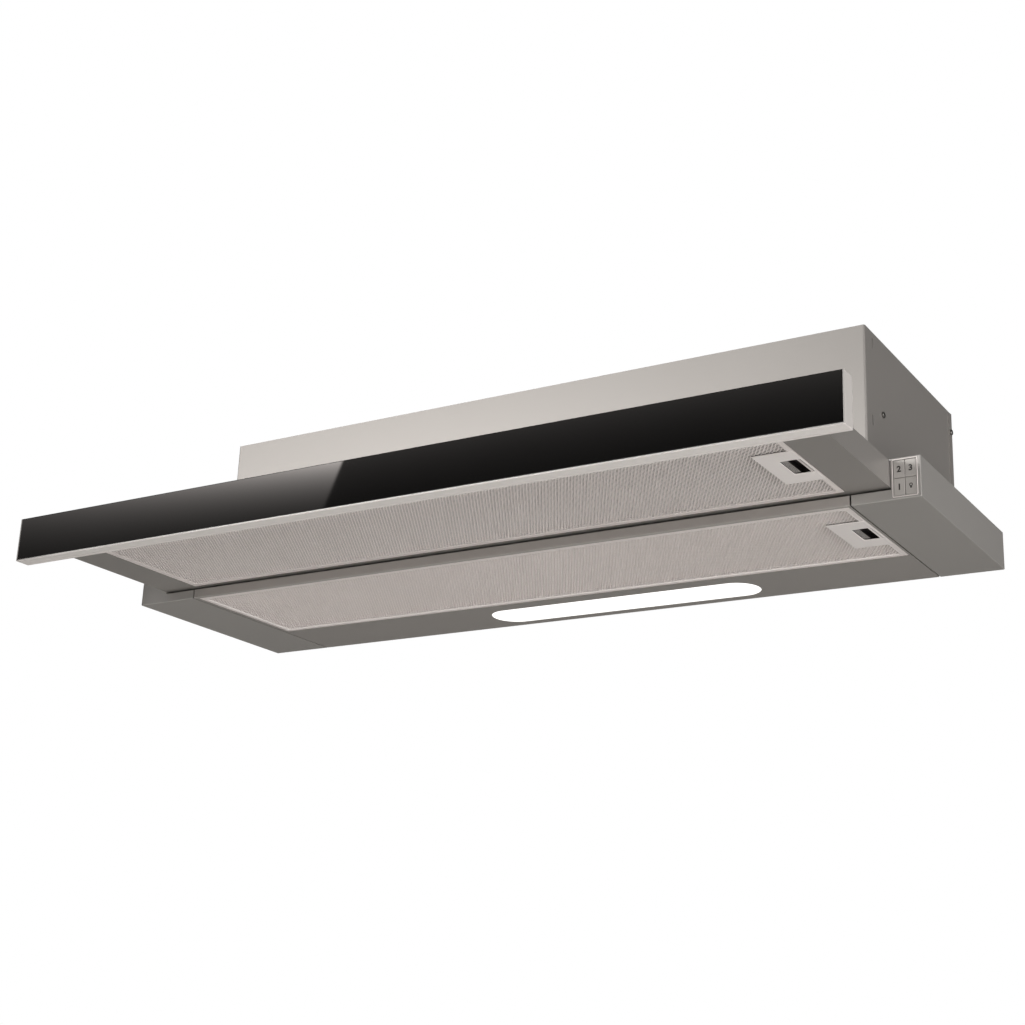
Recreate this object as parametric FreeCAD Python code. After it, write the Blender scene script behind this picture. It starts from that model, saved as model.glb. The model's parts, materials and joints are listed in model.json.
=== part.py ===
"""Telescopic under-cabinet range hood, modelled with its drawer pulled out.

Everything is laid out in bench coordinates: X to the right, Y from the room towards the wall with
Y = 0 on the front of the canopy, Z up from the underside.  export() then moves each sub-part to the
part's own frame, whose origin is the centre of the four fixing holes, on the top plate's upper face.
"""
import FreeCAD, Part
import math
import os

V = FreeCAD.Vector

LEFT, RIGHT = -1, 1

# ---- overall sizes (millimetres) ----
WIDTH = 898.0            # canopy, end to end
DEPTH = 242.0            # canopy and casing, front face to wall
HEIGHT = 170.0           # underside to the top plate's upper face
CANOPY_H = 38.0          # height of the low, full-width canopy
SHEET = 1.0              # steel sheet
MOULD = 2.0              # wall of the moulded end caps
SEAM = 1.6               # shadow gap between steel shell and end caps

# ---- casing above the canopy ----
CASING_LEFT_IN, CASING_RIGHT_IN = 123.0, 47.0    # steps in from the canopy's ends to the casing sides
CASING_BEND, CASING_BEND_IN = 1.8, 0.8           # radii of the folded front corners
CASING_FLANGE = 10.0
BACK_FLANGE = 9.0        # back panel's side flange, lapped over the casing sides
BACK_SNIP = 4.0          # corner trimmed off that flange at the top
AIR_EDGE = 22.0          # sheet left round the air opening under the casing
PLATE_GAP = 0.5          # canopy's top plate to the caps' blocks
SLOT_H, SLOT_W = 10.0, 1.6
SLOT_UPPER_Y, SLOT_UPPER_DOWN = 19.0, 11.0       # hook slots in the casing sides: the upper one is
SLOT_LOWER_Y, SLOT_LOWER_UP = 15.0, 45.0         # measured down from the top, the lower from the canopy
SIDE_SCREW_Y, SIDE_SCREW_UP = 41.5, 59.0
SIDE_SCREW_L = 5.0
EDGE_SCREW_IN = 22.0     # back flange screws, in from its ends

# ---- end caps ----
CAP_LEN = {LEFT: 77.0, RIGHT: 64.0}      # length of each end cap along X
CAP_EDGE = 0.8           # rounding of its edges
BLOCK_W = {LEFT: 36.0, RIGHT: 27.0}      # full-height block at the outer end of each cap
BLOCK_D = 20.0           # how deep the blocks are
LIP_H = 9.5              # front lip below the drawer
TAB_L, TAB_FRONT, TAB_REAR = 20.0, 20.0, 12.0    # shell's tab over the cap's floor
TAB_SCREW_IN, TAB_SCREW_SHORT = 10.0, 0.6         # the screws stop short of the cap's outer face

# ---- drawer ----
TRAVEL_SPARE = 9.0       # travel beyond the length of the drawer's filter
FRONT_OVERHANG = 2.4     # front panel past each end of the canopy
FRONT_H, FRONT_T = 45.6, 17.0
FRONT_Z = 1.3
FRONT_GAP = 2.0          # left between front panel and canopy when pushed in
FRONT_WALL = 1.5
FRONT_EDGE = 0.5
FRONT_SCREW_IN = 56.4    # outer front screws, in from the tray's sides
FRONT_SCREWS, FRONT_SCREW_THROUGH = 4, 2.0
GROOVE_W, GROOVE_D, GROOVE_IN = 0.8, 0.5, 3.0    # shadow groove along the frame's underside
GLASS_T, GLASS_RIM = 4.0, 1.3
GLASS_BEVEL_W, GLASS_BEVEL_D = 0.6, 0.3
TRAY_CLEAR = 0.6         # between the tray's sides and the caps' blocks
TRAY_Z = 11.6            # underside of the tray
TRAY_TOP_GAP = 0.4       # between the tray and the canopy's top plate
TRAY_BACK = 40.0         # the tray floor reaches this far behind the canopy's face
TRAY_BACK_DROP = 8.0     # the tray's back wall is this much lower than its sides
TRAY_FLANGE = 7.0
ARM_BACK = 70.0          # the tray's side arms reach this far
BUFFER_R, BUFFER_SPARE = 3.0, 0.5
BUFFER_IN = 18.0         # buffers, out from the caps' inner ends
BUFFER_Z = 5.55

# ---- grease filters ----
FILTER_SIDE = {LEFT: 4.0, RIGHT: 2.5}    # between a filter's ends and the ends of the steel shell
STRIP_W = 82.0           # lamp strip behind the canopy filter
FILTER_H = 8.0
FILTER_GAP = 0.5
FILTER_BORDER = 5.0
FILTER_SKIN = 1.0
FILTER_EDGE = 0.9        # rounding of the border's outer corner
CANOPY_FILTER_Y = 4.0    # front edge of the canopy filter
DRAWER_FILTER_BACK = -4.5    # rear edge of the drawer filter
RIM_H = 6.0              # upturned rim round a filter opening
MESH_T, MESH_EDGE = 0.4, 0.2     # expanded mesh sheet, and its room at the edges
LAYER_ROOM = 1.0         # play of the layers between the border's lips
WAVE_PITCH, WAVE_T = 12.0, 0.25
HOOK_L, HOOK_W, HOOK_T, HOOK_SPACING = 2.5, 12.0, 1.0, 90.0
HOOK_LIFT = 0.3          # hook above the sheet that it rests on

# ---- filter latches ----
LATCH_L, LATCH_W = 36.5, 74.0
LATCH_PROUD = 0.3
LATCH_SKIN = 1.2
LATCH_EDGE = 0.25
LATCH_ROOF = 0.8
LATCH_SIDE, LATCH_ROOM = 1.5, 3.5        # side wall, and the room beside the finger pocket
POCKET_L, POCKET_W = 19.5, 35.0
POCKET_IN = 1.0          # pocket's right edge, in from the latch plate's end
BOLT_W, BOLT_T, BOLT_REACH = 12.0, 1.8, 5.0
TONGUE_L, TONGUE_IN = 12.0, 6.5          # ribbed tongue, and how far it shows in the pocket
TONGUE_T, TONGUE_LIP = 1.8, 1.2
SLIDER_ARM, SLIDER_END = 2.6, 3.0
SLIDER_BACK = 1.5        # slider's end, in from the end of its cavity
RUN_GAP = 0.3            # room round a sliding piece

# ---- lamp ----
LAMP_X, LAMP_IN = 50.0, 38.0     # middle of the lens, and its distance from the wall side
LAMP_L, LAMP_W = 318.0, 50.0
LAMP_LIP, LENS_SKIN, LENS_WALL = 1.5, 1.5, 2.5
LENS_ROOM = 0.3
LAMP_H, LAMP_GROW = 9.0, 5.0     # reflector tray: height, and margin round the lens
LED_COUNT, LED_SIZE, LED_T = 12, 5.0, 1.0
LED_BOARD_IN, LED_BOARD_W, LED_ROW_IN = 10.0, 24.0, 20.0

# ---- push buttons ----
BUTTON_W = 10.0
BUTTON_MARGIN = 3.0      # half of what the cap's height leaves above and below the two rows
BUTTON_GAP = 0.35
BUTTON_IN = 14.4         # the four buttons meet this far from the end of the cap,
BUTTON_RISE = 0.4        # and this far above the middle of its height
BUTTON_SETBACK, BUTTON_EDGE = 0.3, 0.6
BUTTON_DEPTH = 5.6
BUTTON_TRAVEL = 1.5
STEM_W, STEM_H, STEM_L = 3.0, 5.0, 7.0
SWITCH_HALF, SWITCH_GAP = 3.0, 0.1
GUIDE_Y, GUIDE_T = 8.0, 1.5
BOARD_Y, BOARD_T = 17.0, 1.6

# ---- drawer slides ----
RAIL_T = 1.2
RAIL_DOWN = 14.0         # rails' middle, below the canopy's top
RAIL_PLAY = 2.3          # the drawer's rail plate is this much lower than the channel, above and below
CHANNEL_MARGIN = 19.4    # the channel is this much lower than the canopy
CHANNEL_W, CHANNEL_GAP, CHANNEL_FOOT = 10.2, 1.6, 8.0
CHANNEL_END = 4.0        # channel, in from the cap's block and from the wall side
RUNNER_L = 44.0          # nylon runner and its rail plate at the rear of each arm
RUNNER_PLAY = 0.2        # room round a runner in its channel

# ---- air outlet ----
OUTLET_IN = 92.0         # outlet's middle, from the wall side
OUTLET_R = 60.0          # outside of the spigot
OUTLET_WALL = 2.0
OUTLET_H = 32.0
OUTLET_FLANGE = 12.0
LEDGE_W, LEDGE_T, LEDGE_GAP = 3.0, 2.0, 0.2      # ledge that the closed flaps rest on
FLAP_Z = 20.0            # damper axis above the top plate
FLAP_T = 1.2
FLAP_EDGE = 1.0          # between a flap and the spigot
FLAP_GAP = 2.2           # from the damper axis to the straight edge of a flap
FLAP_DROP = 0.3          # a flap's upper face lies this far below the axis
PIN_R, PIN_END = 1.5, 0.3
KNUCKLE_R, KNUCKLE_CLEAR = 3.2, 0.06
KNUCKLE_COUNT, KNUCKLE_GAP, KNUCKLE_EDGE = 4, 2.0, 15.0

# ---- blower ----
BLOWER_X = 165.0
BLOWER_FRONT, BLOWER_REAR = 25.0, 17.0   # housing's distance from the canopy's face and from the wall side
SCROLL_Z, SCROLL_ROOM = 60.0, 19.0       # height of its floor, and the gap over its roof
SCROLL_WALL = 2.0
DUCT_SPREAD, DUCT_END = 2.0, 4.0
WHEEL_SIDE, WHEEL_UNDER, WHEEL_OVER = 26.0, 6.0, 14.0
INLET_LIP = 14.0         # the inlet is this much smaller in radius than the wheel
BLADES, BLADE_W, BLADE_T, BLADE_TURN = 36, 12.0, 1.0, 28
DISC_RISE, DISC_T = 18.0, 2.0
HUB_R, HUB_L, HUB_DROP = 12.0, 12.0, 4.0
MOTOR_GAP, MOTOR_SIDE = 8.0, 20.0        # motor over the hub, and inside the row of blades
MOTOR_FLANGE, MOTOR_EDGE = 8.0, 4.0
SHAFT_R, SHAFT_CLEAR, SHAFT_BELOW = 4.0, 0.05, 4.0
HANGER_R, HANGER_SPREAD = 6.0, 0.62

# ---- electrical box and capacitor ----
CONTROL_IN, CONTROL_Y = 60.0, 30.0       # from the casing's left side and the front
CONTROL_L, CONTROL_W, CONTROL_H, CONTROL_WALL = 110.0, 80.0, 40.0, 2.0
TERMINALS, TERMINAL_PITCH, TERMINAL_L, TERMINAL_W, TERMINAL_H = 5, 16.0, 12.0, 16.0, 16.0
TERMINAL_IN, BOARD_ROOM = 6.0, 1.0
CAPACITOR_IN, CAPACITOR_GAP = 25.0, 14.0     # along the box's length, and behind its rear wall
CAPACITOR_R, CAPACITOR_L, CAPACITOR_EDGE = 16.0, 60.0, 1.5
CLIP_T, CLIP_L, CLIP_FOOT = 1.0, 14.0, 10.0

# ---- fixings ----
FIX_IN = 46.0            # left-hand cabinet screws, in from the casing's left side
FIX_MIDDLE_Y, FIX_SPACING_Y = 120.0, 120.0
FIX_R = 2.75
SCREW_R, SCREW_HEAD_R, SCREW_HEAD_T, SCREW_HEAD_EDGE = 1.6, 3.0, 1.8, 0.8
RECESS_L, RECESS_W, RECESS_D = 3.4, 0.8, 0.9
GLAND_X, GLAND_IN, GLAND_R, GLAND_BORE = -190.0, 37.0, 11.0, 4.5
GLAND_WALL, GLAND_FACE_T, GLAND_UP, GLAND_DOWN = 3.0, 4.0, 12.0, 6.0

# ---- places worked out from those sizes ----
HALF = WIDTH / 2
TOP_Z = HEIGHT - SHEET
CASING_L = -HALF + CASING_LEFT_IN
CASING_R = HALF - CASING_RIGHT_IN
FIX_HALF_X = -CASING_L - FIX_IN
ORIGIN = V(0, FIX_MIDDLE_Y, HEIGHT)

CAP_IN = {s: HALF - CAP_LEN[s] for s in (LEFT, RIGHT)}       # distances from the middle, on either side
BLOCK_IN = {s: HALF - BLOCK_W[s] for s in (LEFT, RIGHT)}
SHELL_END = {s: CAP_IN[s] - SEAM / 2 for s in (LEFT, RIGHT)}
TRAY_SIDE = {s: BLOCK_IN[s] - TRAY_CLEAR for s in (LEFT, RIGHT)}
CHANNEL_IN = {s: TRAY_SIDE[s] + CHANNEL_GAP for s in (LEFT, RIGHT)}

FILTER_X0, FILTER_X1 = -SHELL_END[LEFT] + FILTER_SIDE[LEFT], SHELL_END[RIGHT] - FILTER_SIDE[RIGHT]
FILTER_L = DEPTH - STRIP_W - CANOPY_FILTER_Y
OPEN_X0, OPEN_X1 = FILTER_X0 - FILTER_GAP, FILTER_X1 + FILTER_GAP
DRAWER_FILTER_Y = DRAWER_FILTER_BACK - FILTER_L
WAVE_H = FILTER_H - 2 * FILTER_SKIN - 2 * MESH_T - LAYER_ROOM
LATCH_H = FILTER_H - FILTER_SKIN
LATCH_CAVITY = LATCH_SKIN - LATCH_PROUD
BOLT_Z = LATCH_H - LATCH_ROOF - MESH_EDGE - BOLT_T

TRAVEL = FILTER_L + TRAVEL_SPARE
FRONT_W = WIDTH + 2 * FRONT_OVERHANG
FRONT_BACK = -TRAVEL - FRONT_GAP
FRONT_FACE = FRONT_BACK - FRONT_T
TRAY_TOP = CANOPY_H - SHEET - TRAY_TOP_GAP
RAIL_Z = CANOPY_H - RAIL_DOWN
CHANNEL_H = CANOPY_H - CHANNEL_MARGIN
RAIL_H = CHANNEL_H - 2 * RAIL_PLAY
CHANNEL_FRONT, CHANNEL_BACK = BLOCK_D + CHANNEL_END, DEPTH - CHANNEL_END

LAMP_Y = DEPTH - LAMP_IN
BUTTON_MIDDLE_X, BUTTON_MIDDLE_Z = HALF - BUTTON_IN, CANOPY_H / 2 + BUTTON_RISE
BUTTON_H = CANOPY_H / 2 - BUTTON_MARGIN

OUTLET_Y = DEPTH - OUTLET_IN
DUCT_R = OUTLET_R - OUTLET_WALL
SCROLL_R = (DEPTH - BLOWER_FRONT - BLOWER_REAR) / 2
BLOWER_Y = BLOWER_FRONT + SCROLL_R
SCROLL_TOP = TOP_Z - SCROLL_ROOM
SCROLL_SPLIT = (SCROLL_Z + SCROLL_TOP) / 2
WHEEL_R = SCROLL_R - WHEEL_SIDE
WHEEL_INNER_R = WHEEL_R - BLADE_W
INLET_R = WHEEL_R - INLET_LIP
WHEEL_Z, WHEEL_TOP = SCROLL_Z + WHEEL_UNDER, SCROLL_TOP - WHEEL_OVER
DISC_Z = WHEEL_Z + DISC_RISE
MOTOR_TOP = SCROLL_TOP - SCROLL_WALL
MOTOR_Z = DISC_Z - HUB_DROP + HUB_L + MOTOR_GAP
MOTOR_R = WHEEL_INNER_R - MOTOR_SIDE
SHAFT_BORE = (MOTOR_TOP - MOTOR_Z) / 2

CONTROL_X = CASING_L + CONTROL_IN
CAPACITOR_X = CONTROL_X + CAPACITOR_IN
CAPACITOR_Y = CONTROL_Y + CONTROL_W + CAPACITOR_GAP + CAPACITOR_R
CAPACITOR_Z = TOP_Z - CLIP_T - CAPACITOR_R
GLAND_Y = DEPTH - GLAND_IN


# ---- shape helpers ----
def box(x0, x1, y0, y1, z0, z1):
    """A block between two corners, given in any order along X."""
    lo, hi = min(x0, x1), max(x0, x1)
    return Part.makeBox(hi - lo, y1 - y0, z1 - z0, V(lo, y0, z0))


def rod(r, length, x, y, z, axis=V(0, 0, 1)):
    return Part.makeCylinder(r, length, V(x, y, z), axis)


def joined(shapes):
    return shapes[0].fuse(shapes[1:]).removeSplitter() if len(shapes) > 1 else shapes[0]


def group(shapes):
    return Part.makeCompound(shapes)


def softened(shape, radius, wanted):
    """Rounds the edges whose middle point passes the test."""
    edges = [e for e in shape.Edges if wanted(e.valueAt((e.FirstParameter + e.LastParameter) / 2))]
    return shape.makeFillet(radius, edges)


def close(a, b):
    return abs(a - b) < 1e-4


def stadium(x, y, length, width, z0, z1):
    """A slab with half-round ends along X."""
    r = width / 2
    straight = box(x - length / 2 + r, x + length / 2 - r, y - r, y + r, z0, z1)
    ends = [rod(r, z1 - z0, x + s * (length / 2 - r), y, z0) for s in (-1, 1)]
    return joined([straight] + ends)


def screw(x, y, z, out, length):
    """A pan-head screw: the head stands out of (x, y, z) along out, the shank goes the other way."""
    head = Part.makeCylinder(SCREW_HEAD_R, SCREW_HEAD_T, V(x, y, z), out)
    rim = [e for e in head.Edges if isinstance(e.Curve, Part.Circle)
           and e.Curve.Center.sub(V(x, y, z)).dot(out) > SCREW_HEAD_T / 2]
    head = head.makeFillet(SCREW_HEAD_EDGE, rim)
    shank = Part.makeCylinder(SCREW_R, length, V(x, y, z), out.negative())
    whole = head.fuse(shank).removeSplitter()
    top = V(x, y, z) + out * SCREW_HEAD_T
    return whole.cut([recess_arm(top, out, turned) for turned in (False, True)])


def recess_arm(top, out, turned):
    """One arm of the cross recess in a screw head."""
    arm = Part.makeBox(RECESS_L, RECESS_W, 2 * RECESS_D, V(-RECESS_L / 2, -RECESS_W / 2, -RECESS_D))
    if turned:
        arm.rotate(V(0, 0, 0), V(0, 0, 1), 90)
    arm.Placement = FreeCAD.Placement(top, FreeCAD.Rotation(V(0, 0, 1), out)).multiply(arm.Placement)
    return arm


def screw_hole(x, y, z, out, length):
    return Part.makeCylinder(SCREW_R, length, V(x, y, z), out.negative())


# ---- where the screws go: (x, y, z, outward direction, shank length) ----
def side_screws():
    places = []
    for side, face in ((LEFT, CASING_L), (RIGHT, CASING_R)):
        out = V(side, 0, 0)
        places.append((face, SIDE_SCREW_Y, CANOPY_H + SIDE_SCREW_UP, out, SIDE_SCREW_L))
        for z in (CANOPY_H + EDGE_SCREW_IN, HEIGHT - EDGE_SCREW_IN):
            places.append((face + side * SHEET, DEPTH - BACK_FLANGE / 2, z, out, SIDE_SCREW_L + SHEET))
    return places


def tab_screws():
    length = MOULD + SHEET - TAB_SCREW_SHORT
    return [(s * (CAP_IN[s] + TAB_SCREW_IN), y, MOULD + SHEET, V(0, 0, 1), length)
            for s in (LEFT, RIGHT) for y in (DEPTH / 4, DEPTH * 3 / 4)]


def front_screws():
    length = SHEET + FRONT_WALL + FRONT_SCREW_THROUGH
    first, last = -TRAY_SIDE[LEFT] + FRONT_SCREW_IN, TRAY_SIDE[RIGHT] - FRONT_SCREW_IN
    step = (last - first) / (FRONT_SCREWS - 1)
    return [(first + i * step, FRONT_BACK + SHEET, RAIL_Z, V(0, 1, 0), length) for i in range(FRONT_SCREWS)]


def drilled(shape, places):
    return shape.cut([screw_hole(*p) for p in places])


# ---- canopy ----
def filter_opening(plate, y0, z0):
    """Cuts a filter's opening in a floor plate and folds its rim up on three sides; the right-hand rim
    has the slot that the latch bolt engages."""
    y1 = y0 + FILTER_L + FILTER_GAP
    y0 = y0 - FILTER_GAP
    middle = (y0 + y1) / 2
    top = z0 + SHEET + RIM_H
    plate = plate.cut(box(OPEN_X0, OPEN_X1, y0, y1, z0 - 1, z0 + SHEET + 1))
    rims = [box(OPEN_X0, OPEN_X1 + SHEET, y0 - SHEET, y0, z0, top),
            box(OPEN_X0, OPEN_X1 + SHEET, y1, y1 + SHEET, z0, top),
            box(OPEN_X1, OPEN_X1 + SHEET, y0, y1, z0, top)]
    return joined([plate] + rims).cut(bolt_room(OPEN_X1 - 1, OPEN_X1 + SHEET + 1, middle, z0))


def bolt_room(x0, x1, middle, z0):
    """Space that the latch bolt slides in, with its running gap."""
    half = BOLT_W / 2 + RUN_GAP
    return box(x0, x1, middle - half, middle + half, z0 + BOLT_Z - RUN_GAP, z0 + BOLT_Z + BOLT_T + RUN_GAP)


def canopy_shell():
    """Steel underside: front strip, filter opening, lamp strip and back wall."""
    x0, x1 = -SHELL_END[LEFT], SHELL_END[RIGHT]
    outer = box(x0, x1, 0, DEPTH, 0, CANOPY_H - SHEET)
    outer = softened(outer, SHEET, lambda p: close(p.z, 0) and (close(p.y, 0) or close(p.y, DEPTH)))
    inside = box(x0 - 1, x1 + 1, SHEET, DEPTH - SHEET, SHEET, CANOPY_H)
    shell = outer.cut([inside, box(x0 - 1, x1 + 1, -1, SHEET + 1, LIP_H, CANOPY_H)])
    shell = filter_opening(shell, CANOPY_FILTER_Y, 0)
    parts = [shell]
    for s in (LEFT, RIGHT):
        y0, y1, end = TAB_FRONT, DEPTH - TAB_REAR, SHELL_END[s]
        parts.append(box(s * (end - SHEET), s * end, y0, y1, 0, MOULD + SHEET))
        parts.append(box(s * end, s * (CAP_IN[s] + TAB_L), y0, y1, MOULD, MOULD + SHEET))
    shell = joined(parts).cut(stadium(LAMP_X, LAMP_Y, LAMP_L, LAMP_W, -1, SHEET + 1))
    return drilled(shell, tab_screws())


def canopy_top():
    """Plate that closes the canopy and carries the casing, with the air opening under the casing."""
    z0, z1 = CANOPY_H - SHEET, CANOPY_H
    middle = box(-SHELL_END[LEFT], SHELL_END[RIGHT], SHEET, DEPTH, z0, z1)
    tongue = box(-BLOCK_IN[LEFT] + PLATE_GAP, BLOCK_IN[RIGHT] - PLATE_GAP, SHEET, BLOCK_D + 1, z0, z1)
    wings = box(-HALF + MOULD, HALF - MOULD, BLOCK_D + PLATE_GAP, DEPTH - MOULD, z0, z1)
    air = box(CASING_L + AIR_EDGE, CASING_R - AIR_EDGE, AIR_EDGE, DEPTH - AIR_EDGE, z0 - 1, z1 + 1)
    return joined([middle, tongue, wings]).cut(air)


def end_cap(side):
    """Moulded end of the canopy: full-height block outside, low lip under the drawer inside."""
    x_in, x_out, block = CAP_IN[side] + SEAM / 2, HALF, BLOCK_IN[side]
    cap = box(side * x_in, side * x_out, 0, DEPTH, 0, CANOPY_H)
    cap = softened(cap, CAP_EDGE, lambda p: not close(abs(p.x), x_in))
    cavity = box(side * (x_in - 1), side * (x_out - MOULD), MOULD, DEPTH - MOULD, MOULD, CANOPY_H + 1)
    passage = box(side * (x_in - 1), side * block, -1, BLOCK_D, LIP_H, CANOPY_H + 1)
    walls = [box(side * block, side * (block + MOULD), MOULD / 2, BLOCK_D, MOULD / 2, CANOPY_H),
             box(side * (block + MOULD / 2), side * (x_out - MOULD / 2), MOULD / 2, BLOCK_D,
                 CANOPY_H - MOULD, CANOPY_H)]
    cap = joined([cap.cut([cavity, passage])] + walls)
    cap = drilled(cap, tab_screws())
    if side == RIGHT:
        x, z = BUTTON_MIDDLE_X, BUTTON_MIDDLE_Z
        half_w, half_h = BUTTON_W + BUTTON_GAP, BUTTON_H + BUTTON_GAP
        cap = cap.cut(box(x - half_w, x + half_w, -1, MOULD + 1, z - half_h, z + half_h))
    return cap


# ---- casing ----
def side_slots():
    """Hook slots through both casing sides."""
    cuts = []
    for face in (CASING_L, CASING_R):
        for y, z in ((SLOT_UPPER_Y, HEIGHT - SLOT_UPPER_DOWN), (SLOT_LOWER_Y, CANOPY_H + SLOT_LOWER_UP)):
            cuts.append(box(face - 2, face + 2, y - SLOT_W / 2, y + SLOT_W / 2,
                            z - SLOT_H / 2, z + SLOT_H / 2))
    return cuts


def at_front_corners(p):
    return close(p.y, 0) and (close(p.x, CASING_L) or close(p.x, CASING_R))


def casing_wrap():
    """Front and both sides, folded from one sheet, with flanges turned in at top and bottom."""
    y1 = DEPTH - SHEET
    outer = box(CASING_L, CASING_R, 0, y1, CANOPY_H, TOP_Z)
    outer = softened(outer, CASING_BEND, at_front_corners)
    inner = box(CASING_L + SHEET, CASING_R - SHEET, SHEET, y1 + 1, CANOPY_H + SHEET, TOP_Z - SHEET)
    folds = lambda p: close(p.y, SHEET) and (close(p.x, CASING_L + SHEET) or close(p.x, CASING_R - SHEET))
    inner = softened(inner, CASING_BEND_IN, folds)
    hole = box(CASING_L + CASING_FLANGE, CASING_R - CASING_FLANGE, CASING_FLANGE, y1 + 1,
               CANOPY_H - 1, TOP_Z + 1)
    return drilled(outer.cut([inner, hole] + side_slots()), side_screws())


def casing_back():
    """Back panel, with side flanges lapped over the outside of the casing sides."""
    y0 = DEPTH - SHEET
    parts = [box(CASING_L - SHEET, CASING_R + SHEET, y0, DEPTH, CANOPY_H, TOP_Z)]
    for face, side in ((CASING_L, LEFT), (CASING_R, RIGHT)):
        parts.append(box(face, face + side * SHEET, DEPTH - BACK_FLANGE, DEPTH, CANOPY_H, TOP_Z))
    back = joined(parts)
    back = back.cut([snipped(x) for x in (CASING_L - SHEET - 1, CASING_R)])
    return drilled(back, side_screws())


def snipped(x):
    """Wedge that trims the flange's top front corner."""
    y, z = DEPTH - BACK_FLANGE, TOP_Z
    points = [V(x, y - 1, z + 1), V(x, y + BACK_SNIP, z + 1), V(x, y + BACK_SNIP, z),
              V(x, y, z - BACK_SNIP), V(x, y - 1, z - BACK_SNIP)]
    return Part.Face(Part.makePolygon(points + points[:1])).extrude(V(SHEET + 1, 0, 0))


def fixing_places():
    return [(sx * FIX_HALF_X, FIX_MIDDLE_Y + sy * FIX_SPACING_Y / 2) for sx in (-1, 1) for sy in (-1, 1)]


def casing_top():
    """Top plate with the outlet hole, the four cabinet screw holes and the cable hole."""
    plate = box(CASING_L, CASING_R, 0, DEPTH, TOP_Z, HEIGHT)
    plate = softened(plate, CASING_BEND, at_front_corners)
    holes = [rod(FIX_R, SHEET + 2, x, y, TOP_Z - 1) for x, y in fixing_places()]
    holes.append(rod(DUCT_R, SHEET + 2, 0, OUTLET_Y, TOP_Z - 1))
    holes.append(rod(GLAND_R - GLAND_WALL, SHEET + 2, GLAND_X, GLAND_Y, TOP_Z - 1))
    return plate.cut(holes)


def cable_gland():
    """Screwed gland for the mains cable: flange above the plate, nut below, clear bore."""
    low, length = TOP_Z - GLAND_DOWN, GLAND_DOWN + GLAND_UP
    neck = rod(GLAND_R - GLAND_WALL, length, GLAND_X, GLAND_Y, low)
    flange = hexagon(GLAND_R, GLAND_FACE_T, GLAND_X, GLAND_Y, HEIGHT)
    nut = hexagon(GLAND_R, GLAND_FACE_T, GLAND_X, GLAND_Y, TOP_Z - GLAND_FACE_T)
    body = joined([neck, flange, nut])
    return body.cut(rod(GLAND_BORE, length + 2, GLAND_X, GLAND_Y, low - 1))


def hexagon(r, length, x, y, z):
    corners = [V(x + r * math.cos(k * math.pi / 3), y + r * math.sin(k * math.pi / 3), z) for k in range(6)]
    return Part.Face(Part.makePolygon(corners + corners[:1])).extrude(V(0, 0, length))


# ---- lamp ----
def lamp_diffuser():
    """Oblong lens, flush with the underside, with a flange that rests on the sheet round the opening."""
    top = SHEET + LENS_SKIN
    lens = stadium(LAMP_X, LAMP_Y, LAMP_L - 2 * LENS_ROOM, LAMP_W - 2 * LENS_ROOM, 0, top)
    edge = [e for e in lens.Edges if close(e.BoundBox.ZMin, 0) and close(e.BoundBox.ZMax, 0)]
    lens = lens.makeFillet(LENS_SKIN / 3, edge)
    flange = stadium(LAMP_X, LAMP_Y, LAMP_L + 2 * LAMP_LIP, LAMP_W + 2 * LAMP_LIP, SHEET, top)
    hollow = stadium(LAMP_X, LAMP_Y, LAMP_L - 2 * LENS_WALL, LAMP_W - 2 * LENS_WALL, LENS_SKIN, top + 1)
    return joined([lens, flange]).cut(hollow)


def lamp_housing():
    """Shallow reflector tray over the lamp opening."""
    x0, x1 = LAMP_X - LAMP_L / 2 - LAMP_GROW, LAMP_X + LAMP_L / 2 + LAMP_GROW
    y0, y1 = LAMP_Y - LAMP_W / 2 - LAMP_GROW, LAMP_Y + LAMP_W / 2 + LAMP_GROW
    outer = box(x0, x1, y0, y1, SHEET, SHEET + LAMP_H)
    return outer.cut(box(x0 + SHEET, x1 - SHEET, y0 + SHEET, y1 - SHEET, 0, LAMP_H))


def led_board():
    half = LAMP_L / 2 - LED_BOARD_IN
    return box(LAMP_X - half, LAMP_X + half, LAMP_Y - LED_BOARD_W / 2, LAMP_Y + LED_BOARD_W / 2,
               LAMP_H - BOARD_T, LAMP_H)


def led_chips():
    first = LAMP_X - LAMP_L / 2 + LED_ROW_IN
    pitch = (LAMP_L - 2 * LED_ROW_IN) / (LED_COUNT - 1)
    top, half = LAMP_H - BOARD_T, LED_SIZE / 2
    return group([box(first + i * pitch - half, first + i * pitch + half, LAMP_Y - half, LAMP_Y + half,
                      top - LED_T, top) for i in range(LED_COUNT)])


# ---- buttons ----
def button_centres():
    """Button name to the middle of its face."""
    x, z = BUTTON_MIDDLE_X, BUTTON_MIDDLE_Z
    w, h = BUTTON_W / 2 + BUTTON_GAP / 2, BUTTON_H / 2 + BUTTON_GAP / 2
    return {"button_speed_1": (x - w, z - h), "button_speed_2": (x - w, z + h),
            "button_speed_3": (x + w, z + h), "button_lamp": (x + w, z - h)}


def button(name):
    x, z = button_centres()[name]
    w, h = BUTTON_W / 2, BUTTON_H / 2
    y0, y = BUTTON_SETBACK, BUTTON_SETBACK + BUTTON_DEPTH
    cap = box(x - w, x + w, y0, y, z - h, z + h)
    cap = softened(cap, BUTTON_EDGE, lambda p: close(p.y, y0))
    stem = box(x - STEM_W / 2, x + STEM_W / 2, y - 1, y + STEM_L, z - STEM_H / 2, z + STEM_H / 2)
    return joined([cap, stem])


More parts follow.
